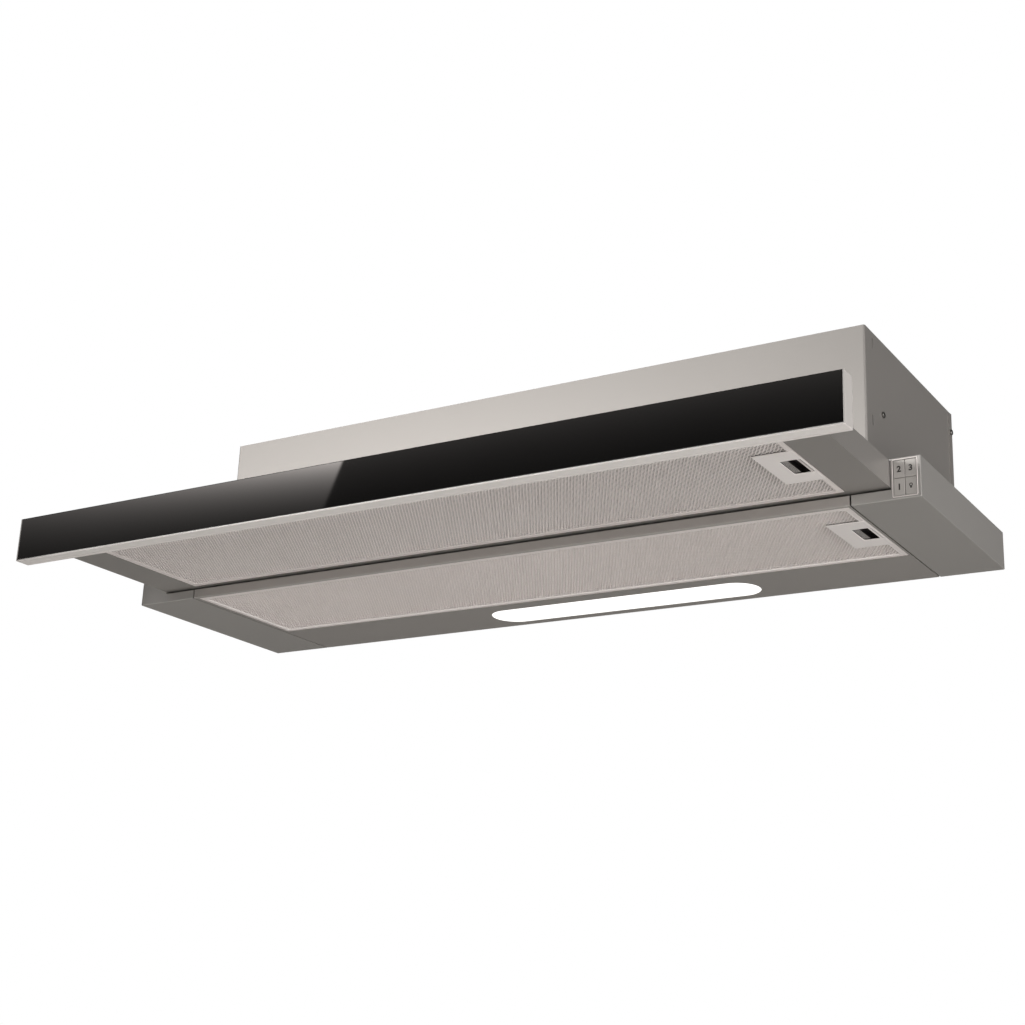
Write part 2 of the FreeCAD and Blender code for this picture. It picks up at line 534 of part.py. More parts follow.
def button_guide():
    """Plate behind the buttons that their stems slide in."""
    plate = box(BLOCK_IN[RIGHT] + MOULD, HALF - MOULD, GUIDE_Y, GUIDE_Y + GUIDE_T, MOULD, CANOPY_H - MOULD)
    holes = [box(x - STEM_W / 2 - RUN_GAP, x + STEM_W / 2 + RUN_GAP, GUIDE_Y - 1, GUIDE_Y + GUIDE_T + 1,
                 z - STEM_H / 2 - RUN_GAP, z + STEM_H / 2 + RUN_GAP)
             for x, z in button_centres().values()]
    return plate.cut(holes)


def switch_board():
    """Printed board with one switch behind each button stem."""
    board = box(BLOCK_IN[RIGHT] + MOULD, HALF - MOULD, BOARD_Y, BOARD_Y + BOARD_T, MOULD, CANOPY_H - MOULD)
    reach = BUTTON_SETBACK + BUTTON_DEPTH + STEM_L + BUTTON_TRAVEL + SWITCH_GAP
    half = SWITCH_HALF
    switches = [box(x - half, x + half, reach, BOARD_Y, z - half, z + half)
                for x, z in button_centres().values()]
    return joined([board] + switches)


# ---- drawer slides ----
def slide_outer(side):
    """Fixed channel with a foot on the end cap's floor."""
    x_in = CHANNEL_IN[side]
    web_out = x_in + CHANNEL_W
    web_in = web_out - RAIL_T
    lo, hi = RAIL_Z - CHANNEL_H / 2, RAIL_Z + CHANNEL_H / 2
    y0, y1 = CHANNEL_FRONT, CHANNEL_BACK
    return joined([box(side * web_in, side * web_out, y0, y1, MOULD, hi),
                   box(side * x_in, side * web_in, y0, y1, lo, lo + RAIL_T),
                   box(side * x_in, side * web_in, y0, y1, hi - RAIL_T, hi),
                   box(side * web_out, side * (web_out + CHANNEL_FOOT), y0, y1, MOULD, MOULD + RAIL_T)])


def slide_inner(side):
    """Steel plate on the tray's arm that carries the nylon runner."""
    x = TRAY_SIDE[side]
    return box(side * x, side * (x + RAIL_T), ARM_BACK - RUNNER_L, ARM_BACK,
               RAIL_Z - RAIL_H / 2, RAIL_Z + RAIL_H / 2)


def slide_runner(side):
    """Nylon block that runs in the fixed channel."""
    x0, x1 = TRAY_SIDE[side] + RAIL_T, CHANNEL_IN[side] + CHANNEL_W - RAIL_T - RUNNER_PLAY
    half = CHANNEL_H / 2 - RAIL_T - RUNNER_PLAY
    return box(side * x0, side * x1, ARM_BACK - RUNNER_L, ARM_BACK, RAIL_Z - half, RAIL_Z + half)


# ---- drawer ----
def tray():
    """Sheet tray that carries the front panel and the drawer filter."""
    z0, z1 = TRAY_Z, TRAY_TOP
    x0, x1 = -TRAY_SIDE[LEFT], TRAY_SIDE[RIGHT]
    floor = box(x0, x1, FRONT_BACK, TRAY_BACK, z0, z0 + SHEET)
    shape = filter_opening(floor, DRAWER_FILTER_Y, z0)
    parts = [shape, box(x0, x1, FRONT_BACK, FRONT_BACK + SHEET, z0, z1),
             box(x0, x1, TRAY_BACK - SHEET, TRAY_BACK, z0, z1 - TRAY_BACK_DROP)]
    for s in (LEFT, RIGHT):
        x = TRAY_SIDE[s]
        parts.append(box(s * (x - SHEET), s * x, FRONT_BACK, ARM_BACK, z0, z1))
        parts.append(box(s * (x - TRAY_FLANGE), s * x, FRONT_BACK, ARM_BACK, z1 - SHEET, z1))
    return drilled(joined(parts), front_screws())


def front_frame():
    """Hollow aluminium frame behind and round the glass."""
    half, z0, z1 = FRONT_W / 2, FRONT_Z, FRONT_Z + FRONT_H
    frame = box(-half, half, FRONT_FACE, FRONT_BACK, z0, z1)
    frame = softened(frame, FRONT_EDGE, lambda p: True)
    pocket = box(-half + GLASS_RIM, half - GLASS_RIM, FRONT_FACE - 1, FRONT_FACE + GLASS_T,
                 z0 + GLASS_RIM, z1 + 1)
    wall = GLASS_RIM + FRONT_WALL
    hollow = box(-half + wall, half - wall, FRONT_FACE, FRONT_BACK - FRONT_WALL, z0 + wall, z1 - wall)
    groove = box(-half - 1, half + 1, FRONT_BACK - GROOVE_IN - GROOVE_W, FRONT_BACK - GROOVE_IN,
                 z0 - 1, z0 + GROOVE_D)
    return drilled(frame.cut([pocket, hollow, groove]), front_screws())


def front_glass():
    """Black glass, with a polished bevel round its face."""
    x = FRONT_W / 2 - GLASS_RIM
    z0, z1 = FRONT_Z + GLASS_RIM, FRONT_Z + FRONT_H
    step = FRONT_FACE + GLASS_BEVEL_D

    def outline(y, inset):
        points = [V(-x + inset, y, z0 + inset), V(x - inset, y, z0 + inset),
                  V(x - inset, y, z1 - inset), V(-x + inset, y, z1 - inset)]
        return Part.makePolygon(points + points[:1])

    slab = box(-x, x, step, FRONT_FACE + GLASS_T, z0, z1)
    bevel = Part.makeLoft([outline(step, 0), outline(FRONT_FACE, GLASS_BEVEL_W)], True)
    return joined([slab, bevel])


def buffers():
    """Rubber stops that meet the end caps' lips when the drawer is pushed in."""
    return group([rod(BUFFER_R, FRONT_GAP - BUFFER_SPARE, s * (CAP_IN[s] + BUFFER_IN), FRONT_BACK, BUFFER_Z,
                      V(0, 1, 0)) for s in (LEFT, RIGHT)])


# ---- grease filter cassette ----
def latch_places(y0, z0):
    """Middle of the latch, and its plate and shell as boxes."""
    x1 = FILTER_X1 - FILTER_SKIN
    middle = y0 + FILTER_L / 2
    low = z0 - LATCH_PROUD
    plate = (x1 - LATCH_L, x1, middle - LATCH_W / 2, middle + LATCH_W / 2, low, low + LATCH_SKIN)
    reach = POCKET_W / 2 + LATCH_ROOM + LATCH_SIDE
    shell = (x1 - LATCH_L, x1, middle - reach, middle + reach, low, z0 + LATCH_H)
    return middle, plate, shell


def filter_frame(y0, z0):
    """Folded border channel with two hooks at the left-hand end."""
    y1, z1, s = y0 + FILTER_L, z0 + FILTER_H, FILTER_SKIN
    middle, plate, shell = latch_places(y0, z0)
    frame = box(FILTER_X0, FILTER_X1, y0, y1, z0, z1)
    frame = softened(frame, FILTER_EDGE, lambda p: close(p.z, z0))
    b = FILTER_BORDER
    frame = frame.cut([box(FILTER_X0 + b, FILTER_X1 - b, y0 + b, y1 - b, z0 - 1, z1 + 1),
                       box(FILTER_X0 + s, FILTER_X1 - s, y0 + s, y1 - s, z0 + s, z1 - s), box(*plate),
                       box(*shell), bolt_room(FILTER_X1 - SLIDER_END, FILTER_X1 + 1, middle, z0)])
    low = z0 + SHEET + HOOK_LIFT
    hooks = [box(FILTER_X0 - HOOK_L, FILTER_X0 + FILTER_SKIN / 2, y - HOOK_W / 2, y + HOOK_W / 2,
                 low, low + HOOK_T) for y in (middle - HOOK_SPACING / 2, middle + HOOK_SPACING / 2)]
    return joined([frame] + hooks)


def filter_layer(y0, z0, low, notch):
    """Flat sheet of mesh between the two lips of the border channel."""
    s = FILTER_SKIN + MESH_EDGE
    layer = box(FILTER_X0 + s, FILTER_X1 - s, y0 + s, y0 + FILTER_L - s, z0 + low, z0 + low + MESH_T)
    return layer.cut(notched(z0, notch))


def notched(z0, notch):
    """Room that a layer leaves round the latch."""
    x0, x1, ya, yb = notch[:4]
    return box(x0 - MESH_EDGE, x1 + 2, ya - MESH_EDGE, yb + MESH_EDGE, z0 - 1, z0 + FILTER_H + 1)


def filter_core(y0, z0, notch):
    """Corrugated mesh between the two flat ones: a zigzag strip carried across the filter."""
    s = FILTER_SKIN + MESH_EDGE
    length = FILTER_X1 - FILTER_X0 - 2 * s
    count = int(length / WAVE_PITCH) * 2
    low = z0 + FILTER_SKIN + MESH_T
    heights = [low + (WAVE_H - WAVE_T) * (i % 2) for i in range(count + 1)]
    under = [V(FILTER_X0 + s + i * length / count, y0 + s, z) for i, z in enumerate(heights)]
    over = [p + V(0, 0, WAVE_T) for p in reversed(under)]
    strip = Part.Face(Part.makePolygon(under + over + under[:1]))
    return strip.extrude(V(0, FILTER_L - 2 * s, 0)).cut(notched(z0, notch))


def latch_housing(y0, z0):
    """Latch plate with a finger pocket, and the box the slider runs in."""
    middle, plate, shell = latch_places(y0, z0)
    x0, x1 = shell[0] + MOULD, shell[1] - POCKET_IN
    body = joined([box(*plate), box(*shell)])
    body = softened(body, LATCH_EDGE, lambda p: close(p.z, z0 - LATCH_PROUD))
    inner = POCKET_W / 2 + LATCH_ROOM
    cavity = box(x0, x1, middle - inner, middle + inner, z0 + LATCH_CAVITY, z0 + LATCH_H - LATCH_ROOF)
    pocket = box(x1 - POCKET_L, x1, middle - POCKET_W / 2, middle + POCKET_W / 2, z0 - 1, z0 + 1)
    return body.cut([cavity, pocket, bolt_room(FILTER_X1 - SLIDER_END, FILTER_X1 + 1, middle, z0)])


def latch_slider(y0, z0):
    """Sliding tongue, its side arms and the bolt that holds the filter up."""
    middle, plate, shell = latch_places(y0, z0)
    x1 = shell[1] - POCKET_IN
    half = POCKET_W / 2 + LATCH_ROOM - RUN_GAP
    tongue_end = x1 - POCKET_L + TONGUE_IN
    end = x1 - SLIDER_BACK
    low, high = z0 + LATCH_CAVITY + RUN_GAP, z0 + BOLT_Z + BOLT_T
    ya, yb = middle - half, middle + half
    return joined([box(tongue_end - TONGUE_L, tongue_end, ya, yb, low, low + TONGUE_T),
                   box(tongue_end - TONGUE_LIP, tongue_end, ya, yb, low, high),
                   box(tongue_end, end, ya, ya + SLIDER_ARM, low, high),
                   box(tongue_end, end, yb - SLIDER_ARM, yb, low, high),
                   box(end - SLIDER_END, end, ya, yb, high - BOLT_T, high),
                   box(end, FILTER_X1 + BOLT_REACH, middle - BOLT_W / 2, middle + BOLT_W / 2,
                       high - BOLT_T, high)])


def cassette(prefix, y0, z0):
    """All pieces of one grease filter."""
    middle, plate, shell = latch_places(y0, z0)
    front = FILTER_SKIN
    back = front + MESH_T + WAVE_H
    return {prefix + "_filter_frame": filter_frame(y0, z0),
            prefix + "_filter_mesh": filter_layer(y0, z0, front, plate),
            prefix + "_filter_core": filter_core(y0, z0, shell),
            prefix + "_filter_back": filter_layer(y0, z0, back, shell),
            prefix + "_latch_housing": latch_housing(y0, z0),
            prefix + "_latch_slider": latch_slider(y0, z0)}


# ---- air outlet and damper ----
def outlet_collar():
    """Round spigot with a flange on the top plate and a ledge that the damper flaps rest on."""
    tube = rod(OUTLET_R, OUTLET_H, 0, OUTLET_Y, HEIGHT)
    flange = rod(OUTLET_R + OUTLET_FLANGE, OUTLET_WALL, 0, OUTLET_Y, HEIGHT)
    collar = joined([tube, flange]).cut(rod(DUCT_R, OUTLET_H + 2, 0, OUTLET_Y, HEIGHT - 1))
    top = HEIGHT + FLAP_Z - FLAP_DROP - FLAP_T - LEDGE_GAP
    ledge = rod(DUCT_R + OUTLET_WALL / 4, LEDGE_T, 0, OUTLET_Y, top - LEDGE_T)
    ledge = ledge.cut(rod(DUCT_R - LEDGE_W, LEDGE_T + 2, 0, OUTLET_Y, top - LEDGE_T - 1))
    half = KNUCKLE_R + 1
    room = box(-OUTLET_R, OUTLET_R, OUTLET_Y - half, OUTLET_Y + half, top - LEDGE_T - 1, top + 1)
    return joined([collar, ledge.cut(room)]).cut(damper_pin())


def damper_pin():
    reach = OUTLET_R - PIN_END
    return rod(PIN_R, 2 * reach, -reach, OUTLET_Y, HEIGHT + FLAP_Z, V(1, 0, 0))


def knuckle_spans():
    """Start and end along X of each hinge knuckle on the damper pin."""
    total = 2 * (OUTLET_R - KNUCKLE_EDGE)
    pitch = (total + KNUCKLE_GAP) / KNUCKLE_COUNT
    starts = [-total / 2 + i * pitch for i in range(KNUCKLE_COUNT)]
    return [(start, start + pitch - KNUCKLE_GAP) for start in starts]


def flap(side):
    """Half-round damper flap, with its own share of the hinge knuckles on the common pin."""
    z = HEIGHT + FLAP_Z
    r = DUCT_R - FLAP_EDGE
    disc = rod(r, FLAP_T, 0, OUTLET_Y, z - FLAP_DROP - FLAP_T)
    ends = sorted((OUTLET_Y + side * FLAP_GAP, OUTLET_Y + side * (r + 1)))
    disc = disc.common(box(-r, r, ends[0], ends[1], z - KNUCKLE_R, z))
    spans = knuckle_spans()
    own, other = (spans[0::2], spans[1::2]) if side > 0 else (spans[1::2], spans[0::2])
    spare = KNUCKLE_GAP / 4
    room = [rod(KNUCKLE_R + spare, b - a + 2 * spare, a - spare, OUTLET_Y, z, V(1, 0, 0)) for a, b in other]
    knuckles = [rod(KNUCKLE_R, b - a, a, OUTLET_Y, z, V(1, 0, 0)) for a, b in own]
    bore = rod(PIN_R + KNUCKLE_CLEAR, 2 * OUTLET_R, -OUTLET_R, OUTLET_Y, z, V(1, 0, 0))
    return joined([disc.cut(room)] + knuckles).cut(bore)


# ---- blower ----
def scroll_solid(r, inset, z0, z1):
    """Plan shape of the blower housing: a drum with a duct that runs to the outlet."""
    half = DUCT_R + DUCT_SPREAD - inset
    duct = box(-DUCT_R - DUCT_END + inset, BLOWER_X, OUTLET_Y - half, OUTLET_Y + half, z0, z1)
    return joined([rod(r, z1 - z0, BLOWER_X, BLOWER_Y, z0), duct])


def scroll_lower():
    w = SCROLL_WALL
    outer = scroll_solid(SCROLL_R, 0, SCROLL_Z, SCROLL_SPLIT)
    inner = scroll_solid(SCROLL_R - w, w, SCROLL_Z + w, SCROLL_SPLIT + 1)
    return outer.cut([inner, rod(INLET_R, w + 2, BLOWER_X, BLOWER_Y, SCROLL_Z - 1)])


def scroll_upper():
    w = SCROLL_WALL
    outer = scroll_solid(SCROLL_R, 0, SCROLL_SPLIT, SCROLL_TOP)
    inner = scroll_solid(SCROLL_R - w, w, SCROLL_SPLIT - 1, SCROLL_TOP - w)
    neck = rod(OUTLET_R, SCROLL_ROOM, 0, OUTLET_Y, SCROLL_TOP)
    bore = rod(DUCT_R, SCROLL_ROOM + w + 2, 0, OUTLET_Y, SCROLL_TOP - w - 1)
    return joined([outer.cut(inner), neck]).cut(bore)


def motor():
    """Motor can hung under the housing roof by its flange."""
    can = rod(MOTOR_R, MOTOR_TOP - MOTOR_Z, BLOWER_X, BLOWER_Y, MOTOR_Z)
    can = softened(can, MOTOR_EDGE, lambda p: close(p.z, MOTOR_Z))
    flange = rod(MOTOR_R + MOTOR_FLANGE, SCROLL_WALL, BLOWER_X, BLOWER_Y, MOTOR_TOP - SCROLL_WALL)
    bore = rod(SHAFT_R + SHAFT_CLEAR, SHAFT_BORE + 1, BLOWER_X, BLOWER_Y, MOTOR_Z - 1)
    return joined([can, flange]).cut(bore)


def motor_shaft():
    low = DISC_Z - SHAFT_BELOW
    return rod(SHAFT_R, MOTOR_Z + SHAFT_BORE - 1 - low, BLOWER_X, BLOWER_Y, low)


def impeller():
    """Forward-curved wheel: hub disc, two rings and a row of blades."""
    disc = rod(WHEEL_R, DISC_T, BLOWER_X, BLOWER_Y, DISC_Z)
    hub = rod(HUB_R, HUB_L, BLOWER_X, BLOWER_Y, DISC_Z - HUB_DROP)
    hole = rod(WHEEL_INNER_R, WHEEL_TOP - WHEEL_Z + 2, BLOWER_X, BLOWER_Y, WHEEL_Z - 1)
    rings = [rod(WHEEL_R, DISC_T, BLOWER_X, BLOWER_Y, z).cut(hole) for z in (WHEEL_Z, WHEEL_TOP - DISC_T)]
    blade = box(WHEEL_INNER_R + BLADE_T / 2, WHEEL_R - BLADE_T / 2, -BLADE_T / 2, BLADE_T / 2,
                WHEEL_Z + DISC_T / 2, WHEEL_TOP - DISC_T / 2)
    blades = []
    for i in range(BLADES):
        one = blade.copy()
        one.rotate(V(WHEEL_R, 0, 0), V(0, 0, 1), BLADE_TURN)
        one.rotate(V(0, 0, 0), V(0, 0, 1), 360.0 / BLADES * i)
        one.translate(V(BLOWER_X, BLOWER_Y, 0))
        blades.append(one)
    bore = rod(SHAFT_R, HUB_L + 2, BLOWER_X, BLOWER_Y, DISC_Z - HUB_DROP - 1)
    return joined([disc, hub] + rings + blades).cut(bore)


def blower_hangers():
    """Rubber-bushed posts between the housing roof and the top plate."""
    reach = SCROLL_R * HANGER_SPREAD
    return group([rod(HANGER_R, SCROLL_ROOM, BLOWER_X + sx * reach, BLOWER_Y + sy * reach, SCROLL_TOP)
                  for sx in (-1, 1) for sy in (-1, 1)])


# ---- electrical box and capacitor ----
def control_box():
    """Box open at the top, under the top plate, for the control board and the mains terminals."""
    x0, y0, z0 = CONTROL_X, CONTROL_Y, TOP_Z - CONTROL_H
    w = CONTROL_WALL
    outer = box(x0, x0 + CONTROL_L, y0, y0 + CONTROL_W, z0, TOP_Z)
    outer = softened(outer, w, lambda p: close(p.z, z0))
    return outer.cut(box(x0 + w, x0 + CONTROL_L - w, y0 + w, y0 + CONTROL_W - w, z0 + w, TOP_Z + 1))


def control_board():
    """Board on the floor of its box, with a row of terminals."""
    rim = CONTROL_WALL + BOARD_ROOM
    x0, x1 = CONTROL_X + rim, CONTROL_X + CONTROL_L - rim
    y0, y1 = CONTROL_Y + rim, CONTROL_Y + CONTROL_W - rim
    z0 = TOP_Z - CONTROL_H + CONTROL_WALL
    board = box(x0, x1, y0, y1, z0, z0 + BOARD_T)
    first = CONTROL_X + (CONTROL_L - (TERMINALS - 1) * TERMINAL_PITCH - TERMINAL_L) / 2
    back = y1 - TERMINAL_IN
    terminals = [box(first + i * TERMINAL_PITCH, first + i * TERMINAL_PITCH + TERMINAL_L,
                     back - TERMINAL_W, back, z0 + BOARD_T, z0 + TERMINAL_H) for i in range(TERMINALS)]
    return joined([board] + terminals)


def capacitor():
    """Motor's run capacitor, lying under the top plate in its clip."""
    can = rod(CAPACITOR_R, CAPACITOR_L, CAPACITOR_X, CAPACITOR_Y, CAPACITOR_Z, V(1, 0, 0))
    return softened(can, CAPACITOR_EDGE, lambda p: True)


def capacitor_clip():
    """Plate against the top plate with a ring that grips the capacitor."""
    x0 = CAPACITOR_X + CAPACITOR_L / 2 - CLIP_L / 2
    ring = rod(CAPACITOR_R + CLIP_T, CLIP_L, x0, CAPACITOR_Y, CAPACITOR_Z, V(1, 0, 0))
    reach = CAPACITOR_R + CLIP_FOOT
    foot = box(x0, x0 + CLIP_L, CAPACITOR_Y - reach, CAPACITOR_Y + reach, TOP_Z - CLIP_T, TOP_Z)
    hollow = rod(CAPACITOR_R, CLIP_L + 2, x0 - 1, CAPACITOR_Y, CAPACITOR_Z, V(1, 0, 0))
    return joined([ring, foot]).cut(hollow)


def export(shapes):
    os.makedirs("parts", exist_ok=True)
    for name, shape in shapes.items():
        moved = shape.copy()
        moved.translate(ORIGIN.negative())
        moved.exportStep("parts/" + name + ".step")
        print(name, len(moved.Solids), "solids", round(moved.Volume / 1000, 1), "cm3", moved.isValid())


def model():
    shapes = {
        "canopy_shell": canopy_shell(), "canopy_top": canopy_top(),
        "end_cap_left": end_cap(LEFT), "end_cap_right": end_cap(RIGHT),
        "casing_wrap": casing_wrap(), "casing_back": casing_back(), "casing_top": casing_top(),
        "cable_gland": cable_gland(), "outlet_collar": outlet_collar(), "damper_pin": damper_pin(),
        "flap_front": flap(-1), "flap_rear": flap(1),
        "lamp_diffuser": lamp_diffuser(), "lamp_housing": lamp_housing(),
        "led_board": led_board(), "led_chips": led_chips(),
        "button_guide": button_guide(), "switch_board": switch_board(),
        "slide_outer_left": slide_outer(LEFT), "slide_outer_right": slide_outer(RIGHT),
        "scroll_lower": scroll_lower(), "scroll_upper": scroll_upper(), "motor": motor(),
        "motor_shaft": motor_shaft(), "impeller": impeller(), "blower_hangers": blower_hangers(),
        "control_box": control_box(), "control_board": control_board(),
        "capacitor": capacitor(), "capacitor_clip": capacitor_clip(),
        "tray": tray(), "front_frame": front_frame(), "front_glass": front_glass(),
        "slide_inner_left": slide_inner(LEFT), "slide_inner_right": slide_inner(RIGHT),
        "slide_runner_left": slide_runner(LEFT), "slide_runner_right": slide_runner(RIGHT),
        "buffers": buffers(),
        "casing_screws": group([screw(*p) for p in side_screws()]),
        "cap_screws": group([screw(*p) for p in tab_screws()]),
        "front_screws": group([screw(*p) for p in front_screws()]),
    }
    for name in button_centres():
        shapes[name] = button(name)
    shapes.update(cassette("canopy", CANOPY_FILTER_Y, 0))
    shapes.update(cassette("drawer", DRAWER_FILTER_Y, TRAY_Z))
    return shapes


export(model())
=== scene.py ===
import bpy
import json
import numpy as np
from mathutils import Matrix, Vector


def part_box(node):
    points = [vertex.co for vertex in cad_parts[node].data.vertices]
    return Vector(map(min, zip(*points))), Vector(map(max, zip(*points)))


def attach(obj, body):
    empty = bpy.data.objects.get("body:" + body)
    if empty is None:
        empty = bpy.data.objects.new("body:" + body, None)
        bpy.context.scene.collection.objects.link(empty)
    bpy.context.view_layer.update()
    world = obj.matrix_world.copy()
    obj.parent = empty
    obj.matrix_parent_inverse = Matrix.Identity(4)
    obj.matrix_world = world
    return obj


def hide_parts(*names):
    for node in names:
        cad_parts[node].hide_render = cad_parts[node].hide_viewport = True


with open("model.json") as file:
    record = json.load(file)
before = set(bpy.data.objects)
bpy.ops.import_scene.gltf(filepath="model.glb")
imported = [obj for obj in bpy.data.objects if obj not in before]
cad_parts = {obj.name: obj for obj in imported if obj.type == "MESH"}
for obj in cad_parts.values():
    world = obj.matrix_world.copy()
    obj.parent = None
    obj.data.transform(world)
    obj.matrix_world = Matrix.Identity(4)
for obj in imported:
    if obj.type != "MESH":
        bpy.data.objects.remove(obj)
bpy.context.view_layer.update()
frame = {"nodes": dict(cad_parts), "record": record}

# Looks of a telescopic range hood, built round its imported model.  Lengths are in metres.
NODES = frame["nodes"]
MM = 0.001

# ---- the studio ----
CAMERA_PLACE = (0.8968, -1.4817, -0.6590)
CAMERA_RIGHT = (0.85169, 0.52254, 0.03979)
CAMERA_DOWN = (-0.13174, 0.28698, -0.94883)
CAMERA_LENS, CAMERA_SENSOR, CAMERA_REACH = 60.59, 36.0, 50.0

FLOOR_Z, FLOOR_REACH = -1.25, 6.0

CARD_Y = -1.92           # the card that the glass mirrors
CARD_X = (-2.42, -0.10)
CARD_Z = (0.490, 0.640)
CARD_CENTRE = (-1.363, 0.5065)           # x and z from which its formula counts
CARD_LEFT, CARD_RISE = -0.79, 1.10       # exponent at the centre, and its growth along x
CARD_SLOPE, CARD_SLOPE_X = 26.3, 12.4    # growth upwards, and how that grows along x
CARD_RIGHT, CARD_RIGHT_SLOPE = -2.49, 16.7
CARD_EDGE = (-1.3321, 0.5617, 0.4195)    # x and z of a point on its slanted edge, and its dx/dz
CARD_BLUR = 0.006                        # half the width over which the edge fades
CARD_COLOUR = (1.0, 0.93, 0.89, 1.0)

FLAG_X, FLAG_Y, FLAG_Z = -0.50, (-0.44, -0.125), (-0.185, -0.06)

LIGHT_COLOUR = (1.0, 0.98, 0.962)
LIGHTS = (               # name, place, what it is aimed at, width and height, watts
    ("key", (-1.5, -3.0, 0.20), (0.0, 0.0, -0.05), (1.6, 0.8), 92.0),
    ("front_right", (2.2, -2.2, -0.1), (0.2, -0.1, -0.1), (1.2, 0.8), 34.0),
    ("side", (3.0, -0.2, -0.3), (0.2, 0.0, -0.1), (1.2, 0.8), 28.0),
    ("low_right", (1.3, -0.5, -1.1), (0.2, -0.1, -0.1), (0.8, 0.8), 2.0),
    ("back", (-1.6, 2.8, 1.2), (0.0, 0.0, -0.1), (1.6, 1.0), 20.0),
    ("top", (0.2, 0.6, 2.2), (0.0, 0.0, 0.0), (2.0, 2.0), 8.0),
)
WORLD_LIGHT = (0.050, 0.048, 0.047, 1.0)
WHITE = (1.0, 1.0, 1.0, 1.0)

# ---- expanded metal of the grease filters ----
CELL_X, CELL_Y = 3.3 * MM, 5.6 * MM
STRAND = 0.30            # share of a cell that its strands take up
STRAND_T = 0.45 * MM
STRAND_TILT = 0.22 * MM
SHEET_MARGIN = 0.3 * MM  # left free round the latch

# ---- bead pressed round each filter ----
BEAD_R = 1.3 * MM
BEAD_LIFT = 0.9          # height of its middle over the border's face, in radii
BEAD_IN = 5.0 * MM       # from the filter's ends and sides
BEAD_BEND = 4.0 * MM
BEAD_OVERLAP = 1.2 * MM  # left end of the border beyond the sheet

# ---- latches ----
POCKET_END = 1.0 * MM    # from the plate's right end to the pocket
POCKET_L, POCKET_HALF_W, POCKET_BEND = 19.5 * MM, 17.5 * MM, 2.0 * MM
POCKET_RIM_R = 0.55 * MM
POCKET_DEPTH = 0.9 * MM  # from here inwards the pocket is painted black, as shade
# Painted shade: the colour drawn in the pocket's hollow
POCKET_PAINTED_SHADE = (0.012, 0.010, 0.010, 1.0)
LATCH_EDGE_R = 0.45 * MM
LATCH_EDGE_IN = 0.6 * MM
LATCH_EDGE_Y = (0.5 * MM, 1.3 * MM)
LATCH_EDGE_BEND = 0.3 * MM
RIB_R, RIB_COUNT = 0.225 * MM, 5
RIB_START = 18.6 * MM    # first rib, back from the pocket's right end
RIB_SPREAD = 5.0 * MM    # from the first rib to the last
RIB_HALF_W, RIB_SHORT, RIB_BEND = 0.3 * MM, 1.5 * MM, 0.25 * MM
RIB_LIFT = 0.1 * MM

# ---- buttons ----
SIGN_H = 5.8 * MM
SIGN_T = 0.12 * MM
SIGN_PROUD = 0.1         # how far a sign's middle stands before the face, in its own thickness
SIGN_BOLD = 0.035
LAMP_SIGN_SHARE = 0.8    # its height against a digit's
BUTTON_RIM_R, BUTTON_RIM_OUT, BUTTON_RIM_LIFT = 0.45 * MM, 0.9 * MM, 0.05 * MM

# ---- front frame ----
FRAME_SKIN = 0.2 * MM    # how deep the painted shade of its lip and ends reaches
# Painted shade: the frame's front lip and its ends are drawn darker than the rest of the same aluminium
FRAME_END_PAINTED_SHADE = (0.66, 0.635, 0.615, 1.0)
FRAME_LIP_PAINTED_SHADE = (0.37, 0.355, 0.345, 1.0)

DUST_COLOUR = (0.55, 0.53, 0.50, 1.0)


# ---- mesh helpers ----
def piece(name, points, faces, body, finish, smooth=False):
    """A mesh object from an array of points and an array of faces, riding on a body."""
    mesh = bpy.data.meshes.new(name)
    mesh.from_pydata(np.asarray(points).reshape(-1, 3).tolist(), [], np.asarray(faces).tolist())
    mesh.update()
    if smooth:
        mesh.polygons.foreach_set("use_smooth", np.ones(len(mesh.polygons), bool))
    made = bpy.data.objects.new(name, mesh)
    bpy.context.scene.collection.objects.link(made)
    made.data.materials.append(finish)
    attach(made, body)
    return made


def stage_sheet(name, corners, finish):
    """A single four-cornered face that belongs to the studio."""
    mesh = bpy.data.meshes.new(name)
    mesh.from_pydata(corners, [], [(0, 1, 2, 3)])
    sheet = bpy.data.objects.new(name, mesh)
    bpy.context.scene.collection.objects.link(sheet)
    sheet.data.materials.append(finish)
    return sheet


def ring_faces(along, around):
    """Quads of a surface that closes on itself both along its path and around its section."""
    i, j = np.meshgrid(np.arange(along), np.arange(around), indexing="ij")
    i, j = i.ravel(), j.ravel()
    ni, nj = (i + 1) % along, (j + 1) % around
    return np.stack([i * around + j, ni * around + j, ni * around + nj, i * around + nj], 1)


def rounded_rectangle(a0, a1, b0, b1, radius, steps=7):
    """Four quarter arcs joined by straight sides: the outline's points and their outward directions."""
    quarter = np.linspace(0, np.pi / 2, steps)
    angle = np.concatenate([quarter + k * np.pi / 2 for k in range(4)])
    corners = [[a1 - radius, b1 - radius], [a0 + radius, b1 - radius],
               [a0 + radius, b0 + radius], [a1 - radius, b0 + radius]]
    outward = np.stack([np.cos(angle), np.sin(angle)], 1)
    return np.repeat(corners, steps, axis=0) + radius * outward, outward


def in_plane(flat, level, normal_axis):
    """Lifts flat (a, b) points onto the plane z = level, or onto y = level when they face the room."""
    a, b = flat[:, 0], flat[:, 1]
    c = np.full(len(flat), level)
    return np.stack([a, b, c], 1) if normal_axis == 2 else np.stack([a, c, b], 1)


